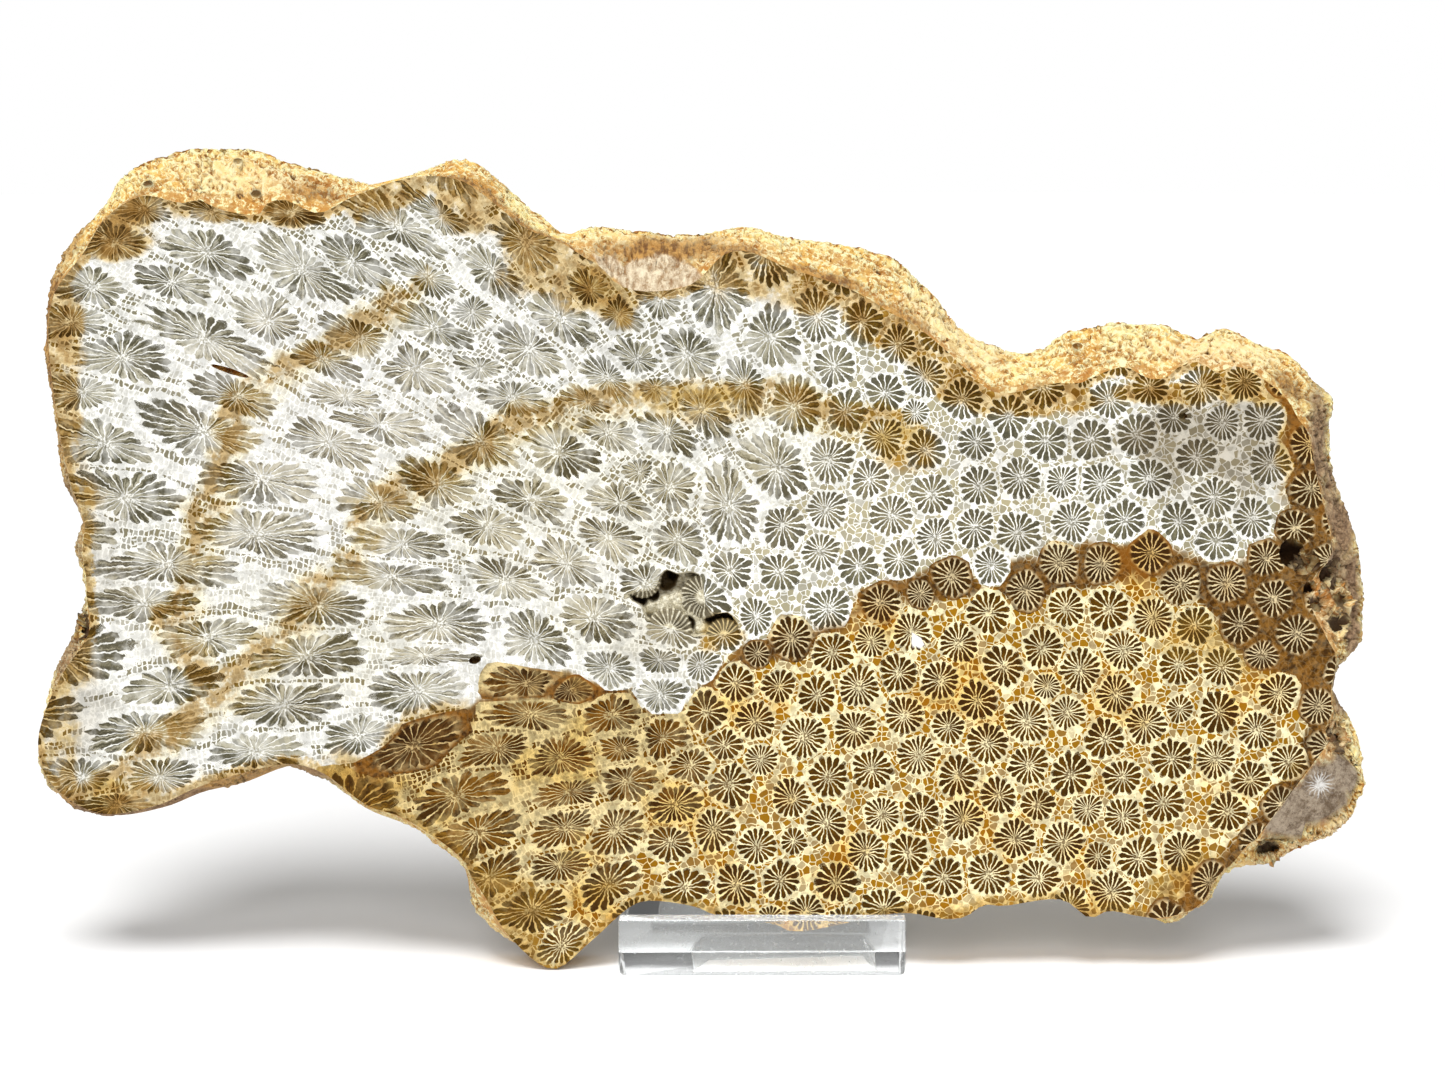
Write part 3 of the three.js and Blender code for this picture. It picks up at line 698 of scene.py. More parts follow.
CREAM_RIND = [
    (240, 175, 70, 20, 4, 0.6), (670, 245, 110, 20, 0, 0.6), (1210, 350, 80, 18, 4, 0.7),
    (960, 330, 60, 26, 32, 0.6), (440, 180, 30, 10, 0, 0.5), (1338, 610, 30, 46, 0, 0.7),
    (1335, 740, 22, 22, 0, 1.0), (1310, 862, 62, 16, -12, 1.0), (1306, 570, 14, 14, 0, 1.0),
    (1350, 832, 26, 16, -40, 0.9), (1325, 612, 22, 44, -15, 1.0),
    (720, 925, 90, 14, 0, 0.5), (500, 950, 60, 20, 20, 0.35),
]
# The edge of the worn facet, and pits as [x, y, radius in mm] whose mouths stay sharp.
FACET_OUTLINE = [
    (1262, 832), (1268, 820), (1278, 808), (1290, 794), (1300, 780), (1314, 764), (1326, 754),
    (1345, 756), (1360, 770), (1362, 788), (1350, 806), (1334, 816), (1316, 828), (1298, 842),
    (1280, 842),
]
SHARP_PITS = [
    (146, 182, 0.9), (234, 158, 0.8), (255, 193, 0.9), (1080, 345, 0.9),
]
# Patches again: ground that is eaten away more deeply, opal, amber and painted shade in
# the mouths of holes.
EATEN_RIND = [
    (1336, 606, 36, 60, 0, 1.0), (1308, 566, 18, 18, 0, 1.0), (1300, 850, 60, 18, -8, 1.0),
    (1330, 738, 24, 24, 0, 1.0), (70, 630, 20, 40, 0, 0.6),
]
OPAL_RIND = [(662, 273, 44, 21, 4, 1.1), (612, 264, 20, 12, 30, 0.8), (1336, 560, 14, 8, 0, 0.7)]
AMBER_RIND = [
    (655, 246, 66, 16, 0, 1.0), (735, 250, 34, 10, 6, 0.9), (822, 276, 56, 9, 14, 0.9),
    (466, 186, 38, 14, 18, 0.9), (520, 222, 34, 6, 35, 0.8), (566, 247, 34, 8, 30, 0.9),
    (905, 318, 40, 9, 30, 0.8), (1030, 390, 34, 8, 0, 0.8), (1296, 385, 26, 12, 40, 0.9),
    (1348, 530, 10, 22, 0, 0.8), (122, 212, 40, 10, -40, 0.7), (310, 186, 34, 10, 10, 0.8),
    (46, 330, 22, 90, 0, 0.95), (60, 235, 20, 40, 20, 0.8), (46, 470, 18, 60, 0, 0.7),
    (220, 797, 140, 22, -12, 0.85), (88, 814, 60, 22, 8, 0.85),
]
HOLE_SHADE_PATCHES = [
    (1290, 556, 17, 22, 0, 1.1), (1327, 574, 10, 8, 0, 1.0), (1309, 594, 5, 9, 20, 0.8),
    (1342, 624, 6, 5, 0, 0.8), (1347, 602, 5, 5, 0, 0.7), (1272, 853, 10, 8, 0, 0.75),
    (1340, 738, 5, 5, 0, 0.7), (80, 628, 7, 9, 0, 0.8), (475, 660, 13, 8, 15, 0.6),
    (1183, 416, 6, 5, 0, 0.5), (230, 371, 20, 6, 18, 0.25), (146, 182, 7, 5, 0, 0.62),
    (255, 193, 7, 5, 0, 0.62), (234, 157, 6, 5, 0, 0.5), (1080, 345, 6, 5, 0, 0.5),
]


def rind_blank():
    """The CAD slab without its two flat faces and without the vug, with its long edges halved."""
    mesh = cad_mesh("coral_slice")
    vug = from_grid(VUG_OUTLINE)
    unwanted, facet = [], set()
    for face in mesh.faces:
        centre = np.array(face.calc_center_median())
        place = to_slab(centre)
        facing = -(np.array(face.normal) @ INTO_STONE)
        flat = abs(facing) > FLAT and (place[2] < LEVEL_SLACK
                                       or place[2] > SLAB_THICKNESS - LEVEL_SLACK)
        in_vug = place[2] < 5 and signed_distance(place[None, :2], vug)[0] > -0.4
        if flat or (in_vug and facing > -0.5):
            unwanted.append(face)
        elif facing > 0.9 and (to_grid(place[:2]) > FACET_CORNER).all():
            facet.update(vert.index for vert in face.verts)
    mesh.verts.ensure_lookup_table()
    layer = mesh.verts.layers.float.new("facet")
    for index in facet:
        mesh.verts[index][layer] = 1.0
    bmesh.ops.delete(mesh, geom=unwanted, context="FACES")
    for _ in range(3):
        long_edges = [edge for edge in mesh.edges if edge.calc_length() > LONGEST_EDGE * MM]
        bmesh.ops.subdivide_edges(mesh, edges=long_edges, cuts=1)
        bmesh.ops.triangulate(mesh, faces=mesh.faces)
    return mesh


def rind_tree():
    """Geometry Nodes that break a smooth rind into crumbs, pits and cracks, always inward."""
    tree = bpy.data.node_groups.new("crumbled_rind", "GeometryNodeTree")
    tree.is_modifier = True
    face = tree.interface
    face.new_socket("Geometry", in_out="INPUT", socket_type="NodeSocketGeometry")
    for name, kind, value in (("Crumb Size", "Float", 1.6), ("Crumb Depth", "Float", 0.6),
                              ("Pit Size", "Float", 3.2), ("Pit Depth", "Float", 0.8),
                              ("Crack Depth", "Float", 0.5), ("Fineness", "Int", FINENESS),
                              ("Seed", "Int", 1)):
        face.new_socket(name, in_out="INPUT", socket_type=f"NodeSocket{kind}").default_value = value
    face.new_socket("Material", in_out="INPUT", socket_type="NodeSocketMaterial")
    face.new_socket("Geometry", in_out="OUTPUT", socket_type="NodeSocketGeometry")
    work = Workbench(tree)
    given = work.node("NodeGroupInput").outputs
    place = work.node("GeometryNodeInputPosition").outputs[0]
    millimetres = work.vector("SCALE", place, scale=1 / MM)
    shift = work.point(given["Seed"], given["Seed"], 0)
    millimetres = work.vector("ADD", millimetres, shift)

    # The grain is drawn out along a line that falls to the right.
    along = work.vector("DOT_PRODUCT", millimetres, (0.5 * 0.8, 0, 0.5 * -0.6))
    across = work.vector("DOT_PRODUCT", millimetres, (1.2 * 0.6, 0, 1.2 * 0.8))
    _, through, _ = work.parts(millimetres)
    lengthwise = work.point(along, through, across)

    def cells(size):
        return work.node("ShaderNodeTexVoronoi", Vector=millimetres,
                         Scale=work.math("DIVIDE", 1, size))

    def grain(size, detail, places=millimetres):
        return work.node("ShaderNodeTexNoise", Vector=places, Detail=detail, Roughness=0.65,
                         Scale=work.math("DIVIDE", 1, size)).outputs["Fac"]

    crumb = work.plus(work.times(cells(given["Crumb Size"]).outputs["Distance"], 0.45),
                      work.times(grain(given["Crumb Size"], 3, lengthwise), 0.95))
    crumb = work.times(crumb, given["Crumb Depth"])
    pit = work.ramp(cells(given["Pit Size"]).outputs["Distance"], 0.42, 0.12)
    pit = work.times(pit, work.ramp(grain(9.0, 2), 0.47, 0.6))
    pit = work.times(pit, given["Pit Depth"])
    crack = work.math("ABSOLUTE", work.minus(grain(given["Pit Size"], 3, lengthwise), 0.5))
    pit = work.plus(pit, work.times(work.ramp(crack, 0.035, 0.0), given["Crack Depth"]))
    loose = work.attribute("loose")
    depth = work.times(work.plus(crumb, pit), loose)
    normal = work.node("GeometryNodeInputNormal").outputs[0]
    finer = work.node("GeometryNodeSubdivideMesh", given["Geometry"], given["Fineness"]).outputs[0]
    noted = work.node("GeometryNodeStoreNamedAttribute", finer, Name="hollow",
                      Value=work.plus(crumb, pit),
                      settings={"data_type": "FLOAT", "domain": "POINT"}).outputs[0]
    inward = work.vector("SCALE", normal, scale=work.times(depth, -MM))
    moved = work.node("GeometryNodeSetPosition", noted, Offset=inward).outputs[0]
    smooth = work.node("GeometryNodeSetShadeSmooth", moved).outputs[0]
    real = work.node("GeometryNodeRealizeInstances", smooth).outputs[0]
    dressed = work.node("GeometryNodeSetMaterial", real, Material=given["Material"]).outputs[0]
    work.node("NodeGroupOutput", dressed)
    return tree


def solid_mesh(piece, tree, values):
    """Runs a Geometry Nodes tree on a piece and keeps the result as its plain mesh."""
    modifier = piece.modifiers.new(tree.name, "NODES")
    modifier.node_group = tree
    for socket in tree.interface.items_tree:
        if socket.in_out == "INPUT" and socket.name in values:
            modifier[socket.identifier] = values[socket.name]
    bpy.context.view_layer.update()
    graph = bpy.context.evaluated_depsgraph_get()
    mesh = bpy.data.meshes.new_from_object(piece.evaluated_get(graph), depsgraph=graph)
    piece.modifiers.remove(modifier)
    old = piece.data
    piece.data = mesh
    bpy.data.meshes.remove(old)
    mesh.name = piece.name


# ---------------------------------------------------------------- the vug in the face

# The broken hole's outline on the grid, the corallites whose flanks it lays bare as
# [x, y, radius, flutes], its deep holes as [x, y, radius], the ledges left in it and the
# middle of the flank that is golden.
VUG_OUTLINE = [
    (627, 594), (640, 591), (652, 590), (657, 585), (661, 574), (667, 569), (677, 573), (689, 571),
    (699, 574), (703, 584), (706, 606), (716, 613), (728, 612), (736, 620), (739, 628), (728, 634),
    (704, 635), (694, 637), (684, 631), (668, 628), (646, 618), (641, 606), (632, 601),
]
BARED_FLANKS = [(702, 597, 24, 25), (669, 631, 25, 23), (724, 637, 20, 21), (642, 580, 20, 22)]
VUG_HOLES = [(666, 579, 11), (640, 599, 8), (653, 596, 6), (687, 624, 8), (712, 616, 8),
             (702, 612, 6), (727, 616, 7), (673, 574, 6)]
VUG_LEDGES = [[(650, 606), (682, 599)], [(692, 615), (700, 626)]]
GOLDEN_FLANK = (724, 634)
VUG_FLOOR = 3.4                 # mm deep, before its lumps
VUG_HOLE_DEPTH = 3.0            # mm more in the deep holes
VUG_STEP = 0.16                 # mm between the points of its mesh
VUG_EDGE = 2.0                  # mm inward that the distance to its edge is worked out


def vug_depth(places, edge_gap):
    """Depth in mm of the broken vug at places on the face, where its flanks are grooved, and
    how golden the stone is."""
    grid = to_grid(places)
    golden = 1 - smooth_step(18, 26, np.linalg.norm(grid - GOLDEN_FLANK, axis=1))
    groove = np.zeros(len(places))
    depth = VUG_FLOOR + 1.1 * (value_noise(places, 1.1, 21) - 0.5)
    depth = depth + 0.7 * (value_noise(places, 0.45, 22) - 0.5)
    for ledge in VUG_LEDGES:
        from_ledge = distance_to_line(grid, ledge) + 6 * (value_noise(places, 1.4, 24) - 0.5)
        depth = depth - 1.9 * (1 - smooth_step(2, 13, from_ledge))
    for x, y, radius in VUG_HOLES:
        gap = np.linalg.norm(grid - (x, y), axis=1)
        depth = depth + VUG_HOLE_DEPTH * (1 - smooth_step(radius * 0.6, radius * 1.2, gap))
    for x, y, radius, flutes in BARED_FLANKS:
        away = grid - (x, y)
        reach = np.linalg.norm(away, axis=1) / radius
        angle = np.arctan2(away[:, 1], away[:, 0]) + 0.25 * (value_noise(places, 2.0, 23) - 0.5)
        ridge = 1 - smooth_step(0.1, 0.9, np.abs(np.sin(angle * flutes / 2 + x)))
        sunk = (1 - ridge) * smooth_step(0.15, 0.4, reach)
        flank = 0.1 + 0.9 * reach ** 2 + 5 * smooth_step(0.86, 1.04, reach) + 0.8 * sunk
        bared = (reach < 1.04) & (flank < depth)
        depth = np.where(bared, flank, depth)
        groove = np.where(bared, sunk, groove)
    return depth * smooth_step(0, 0.4, edge_gap), groove, golden


def vug_piece(material):
    """The broken hole in the polished face, with fluted corallite flanks and crumbly ground."""
    starts, ends = plane_edges("front")
    outline = from_grid(VUG_OUTLINE)
    own = np.abs(signed_distance((starts + ends) / 2, outline)) < 1.2
    starts, ends = starts[own], ends[own]
    low, high = starts.min(0), starts.max(0)
    grid = np.stack(np.meshgrid(np.arange(low[0], high[0], VUG_STEP),
                                np.arange(low[1], high[1], VUG_STEP)), -1).reshape(-1, 2)
    grid = grid[inside_edges(grid, starts, ends)
                & (rim_distance(grid, starts, ends, VUG_EDGE) > 0.06)]
    points = np.concatenate([starts, ends, grid])
    edges = [(k, k + len(starts)) for k in range(len(starts))]
    vertices, _, faces, _, _, _ = delaunay_2d_cdt(
        [Vector(p) for p in points], edges, [], 0, 1e-5, False)
    places, triangles = np.array([v[:] for v in vertices]), np.array(faces)
    triangles = triangles[inside_edges(places[triangles].mean(axis=1), starts, ends)]
    wind(places, triangles)
    used, triangles = np.unique(triangles, return_inverse=True)
    places, triangles = places[used], triangles.reshape(-1, 3)
    depth, groove, golden = vug_depth(places, rim_distance(places, starts, ends, VUG_EDGE))
    mesh = bpy.data.meshes.new("vug")
    mesh.from_pydata(to_world(places, depth).tolist(), [], triangles.tolist())
    set_number(mesh, "hollow", depth)
    set_number(mesh, "groove", groove)
    set_number(mesh, "golden", golden)
    mesh.polygons.foreach_set("use_smooth", [True] * len(mesh.polygons))
    return stone_piece("vug", mesh, material)


# ---------------------------------------------------------------- finishes

def shade(red, green, blue):
    """A colour given as it shows on screen, 0 to 255, as the linear colour that shaders take."""
    linear = [v / 12.92 if v <= 0.04045 else ((v + 0.055) / 1.055) ** 2.4
              for v in (red / 255, green / 255, blue / 255)]
    return (*linear, 1.0)


class Workbench:
    """Makes and wires nodes in one tree."""

    def __init__(self, tree):
        self.tree = tree

    def node(self, kind, *values, settings=None, **named):
        made = self.tree.nodes.new(kind)
        for key, value in (settings or {}).items():
            setattr(made, key, value)
        for index, value in enumerate(values):
            self.feed(made.inputs[index], value)
        for key, value in named.items():
            socket = next(s for s in made.inputs if s.name == key and s.enabled)
            self.feed(socket, value)
        return made

    def feed(self, socket, value):
        if isinstance(value, bpy.types.NodeSocket):
            self.tree.links.new(value, socket)
        elif value is not None:
            socket.default_value = value

    def math(self, operation, *values, clamp=False):
        return self.node("ShaderNodeMath", *values,
                         settings={"operation": operation, "use_clamp": clamp}).outputs[0]

    def times(self, *values, clamp=False):
        return self.math("MULTIPLY", *values, clamp=clamp)

    def plus(self, *values, clamp=False):
        return self.math("ADD", *values, clamp=clamp)

    def minus(self, first, second):
        return self.math("SUBTRACT", first, second)

    def vector(self, operation, *values, scale=None):
        made = self.node("ShaderNodeVectorMath", *values, settings={"operation": operation})
        if scale is not None:
            self.feed(made.inputs["Scale"], scale)
        single = operation in ("LENGTH", "DOT_PRODUCT")
        return made.outputs["Value" if single else "Vector"]

    def point(self, x, y, z):
        return self.node("ShaderNodeCombineXYZ", x, y, z).outputs[0]

    def ramp(self, value, start, end, low=0.0, high=1.0):
        """Eases from low at start to high at end; start may be the greater."""
        return self.node("ShaderNodeMapRange", value, start, end, low, high,
                         settings={"interpolation_type": "SMOOTHSTEP"}).outputs[0]

    def mix(self, share, first, second, blend="MIX"):
        made = self.node("ShaderNodeMix", settings={"data_type": "RGBA", "blend_type": blend})
        self.feed(made.inputs[0], share)
        self.feed(made.inputs[6], first)
        self.feed(made.inputs[7], second)
        return made.outputs[2]

    def noise(self, place, size, detail=2.0, rough=0.5):
        """Noise from 0 to 1 whose features are about size millimetres, on metre coordinates."""
        return self.node("ShaderNodeTexNoise", Vector=place, Scale=1 / (size * MM), Detail=detail,
                         Roughness=rough).outputs["Fac"]

    def wander(self, place, size):
        """A vector that drifts either way of zero, over about size millimetres."""
        drift = self.node("ShaderNodeTexNoise", Vector=place, Scale=1 / (size * MM), Detail=2.0)
        return self.vector("SUBTRACT", drift.outputs["Color"], (0.5, 0.5, 0.5))

    def attribute(self, name):
        if self.tree.type == "GEOMETRY":
            return self.node("GeometryNodeInputNamedAttribute", name,
                             settings={"data_type": "FLOAT"}).outputs["Attribute"]
        return self.node("ShaderNodeAttribute", settings={"attribute_name": name}).outputs["Fac"]

    def channels(self, name):
        """The four channels of a colour attribute."""
        made = self.node("ShaderNodeAttribute", settings={"attribute_name": name})
        parts = self.node("ShaderNodeSeparateColor", made.outputs["Color"]).outputs
        return parts[0], parts[1], parts[2], made.outputs["Alpha"]

    def uv(self, name):
        return self.node("ShaderNodeUVMap", settings={"uv_map": name}).outputs[0]

    def parts(self, vector):
        return self.node("ShaderNodeSeparateXYZ", vector).outputs[:3]


def new_material(name):
    material = bpy.data.materials.new(name)
    material.use_nodes = True
    work = Workbench(material.node_tree)
    surface = material.node_tree.nodes["Principled BSDF"]
    place = work.node("ShaderNodeTexCoord").outputs["Object"]
    return material, work, surface, place


def corallite_pattern(work, place, drawn):
    """One cut corallite: where it is, how far out each point lies, its open chambers, how light
    they are, with painted light on one side of the drawn-out ones, and its spongy middle."""
    disc = work.uv("calice")
    septa, seed, _ = work.parts(work.uv("calice_traits"))
    wander = work.wander(place, 0.9)
    ragged, _, _ = work.parts(wander)
    torn_reach = work.plus(work.vector("LENGTH", disc), work.times(ragged, 0.34))
    inside = work.math("LESS_THAN", torn_reach, 0.96)
    bend = work.vector("SCALE", wander, scale=work.ramp(drawn, 0, 1, 0.17, 0.11))
    x, y, _ = work.parts(work.vector("ADD", disc, bend))
    reach = work.vector("LENGTH", work.point(x, y, 0))
    turn = work.plus(work.math("DIVIDE", work.math("ARCTAN2", y, x), 2 * math.pi), 0.5)
    sector = work.times(turn, septa)
    own = work.point(work.math("FLOOR", sector), work.times(seed, 97), septa)
    luck = work.node("ShaderNodeTexWhiteNoise", Vector=own).outputs["Color"]
    luck_a, luck_b, luck_c = work.parts(luck)
    pitch = work.math("DIVIDE", 2 * math.pi, septa)
    off_middle = work.math("ABSOLUTE", work.minus(work.math("FRACT", sector), 0.5))
    off_middle = work.times(work.times(off_middle, pitch), reach)
    half_room = work.times(work.times(pitch, 0.5), reach)
    septum = work.plus(work.ramp(luck_c, 0, 1, 0.003, 0.012), work.times(reach, 0.036))
    septum = work.times(septum, work.ramp(drawn, 0, 1, 1.0, 0.5))
    outer = work.ramp(luck_a, 0, 1, 0.84, 0.97)
    inner = work.ramp(luck_b, 0, 1, 0.06, 0.24)
    outer = work.plus(outer, work.times(work.minus(luck_c, 0.6), work.times(drawn, 0.16)))
    open_end = work.times(work.minus(outer, reach), work.ramp(drawn, 0, 1, 9, 7.5), clamp=True)
    open_end = work.math("POWER", open_end, work.ramp(drawn, 0, 1, 0.5, 0.8))
    start = work.ramp(reach, inner, work.plus(inner, 0.08))
    width = work.times(work.times(work.minus(half_room, septum), open_end), start)
    chamber = work.ramp(work.minus(width, off_middle), -0.008, 0.008)
    chamber = work.times(chamber, inside)
    edge = work.math("DIVIDE", off_middle, work.math("MAXIMUM", width, 0.01))
    tone = work.plus(work.ramp(reach, 0.15, 0.8, 0.55, 0.1), work.ramp(luck_b, 0, 1, -0.2, 0.4))
    tone = work.minus(tone, work.ramp(edge, 0.4, 1.0, 0.0, 0.2))
    # Painted light: each drawn-out corallite is lighter towards one side, as if lit from there; the
    # side differs from one corallite to the next.
    painted_side_light = work.times(drawn, work.ramp(x, -0.6, 0.7, -0.25, 0.5))
    tone = work.plus(tone, painted_side_light)
    along = work.point(work.times(sector, 2.7), work.times(reach, 1.4), work.times(seed, 90))
    streak = work.node("ShaderNodeTexNoise", Vector=along, Scale=1.0, Detail=2.0, Roughness=0.6)
    streak = work.ramp(streak.outputs["Fac"], 0.32, 0.68, -0.5, 0.6)
    tone = work.plus(tone, work.times(streak, work.plus(0.3, work.times(drawn, 0.9))))
    middle = work.times(work.ramp(reach, 0.3, 0.16), inside)
    return inside, reach, chamber, tone, middle


CELL_SIZE = 1.16                # mm across the polygons
LADDER_REACH = 70               # mm from the focus at which the rows are as wide as LADDER_ANGLE
LADDER_ANGLE = 0.0105           # radians
RUNG_STEP = 0.92                # mm from rung to rung


def cell_pattern(work, place, fan):
    """The fine cells between corallites: how open each is, and a number that differs by cell.

    Where the stone is cut across they are small polygons. Where it is cut along the growth
    they are ladders that fan out from the focus, in twice as many rows each time the distance
    doubles."""
    angle, reach, drawn = fan
    wander = work.wander(place, 1.2)
    polygons = work.vector("ADD", place, work.vector("SCALE", wander, scale=0.5 * MM))
    across, _, up = work.parts(polygons)
    polygons = work.point(across, 0, up)
    scale = 1 / (CELL_SIZE * MM)
    edge = work.node("ShaderNodeTexVoronoi", Vector=polygons, Scale=scale,
                     settings={"feature": "DISTANCE_TO_EDGE"}).outputs["Distance"]
    luck = work.node("ShaderNodeTexVoronoi", Vector=polygons, Scale=scale).outputs["Color"]
    luck, _, _ = work.parts(luck)
    open_polygon = work.times(work.ramp(edge, 0.03, 0.08), work.ramp(luck, 0.02, 0.2))

    wander_x, wander_y, _ = work.parts(wander)
    octave = work.math("LOGARITHM", work.math("DIVIDE", reach, LADDER_REACH), 2)
    octave = work.math("FLOOR", octave)
    rows = work.times(work.math("DIVIDE", angle, LADDER_ANGLE), work.math("POWER", 2, octave))
    rows = work.plus(rows, work.times(wander_x, 1.2))
    rows = work.plus(rows, work.times(work.noise(place, 11, 2.0), 5))
    row = work.point(work.math("FLOOR", rows), octave, 0)
    row_luck = work.node("ShaderNodeTexWhiteNoise", Vector=row).outputs["Color"]
    row_luck, row_start, _ = work.parts(row_luck)
    rungs = work.plus(work.math("DIVIDE", reach, RUNG_STEP), row_start)
    rungs = work.plus(rungs, wander_y)
    off_row = work.math("ABSOLUTE", work.minus(work.math("FRACT", rows), 0.5))
    off_rung = work.math("ABSOLUTE", work.minus(work.math("FRACT", rungs), 0.5))
    open_ladder = work.times(work.ramp(off_row, 0.46, 0.34), work.ramp(off_rung, 0.44, 0.3))
    open_ladder = work.times(open_ladder, work.ramp(row_luck, 0.35, 0.6, 0.3, 1.0))
    rung = work.point(work.math("FLOOR", rungs), work.math("FLOOR", rows), 0)
    rung_luck = work.node("ShaderNodeTexWhiteNoise", Vector=rung).outputs["Value"]
    ladder = work.ramp(drawn, 0.3, 0.5)
    opening = work.node("ShaderNodeMix", ladder, settings={"data_type": "FLOAT"})
    work.feed(opening.inputs[2], open_polygon)
    work.feed(opening.inputs[3], open_ladder)
    number = work.node("ShaderNodeMix", ladder, settings={"data_type": "FLOAT"})
    work.feed(number.inputs[2], luck)
    work.feed(number.inputs[3], rung_luck)
    return opening.outputs[0], number.outputs[0]


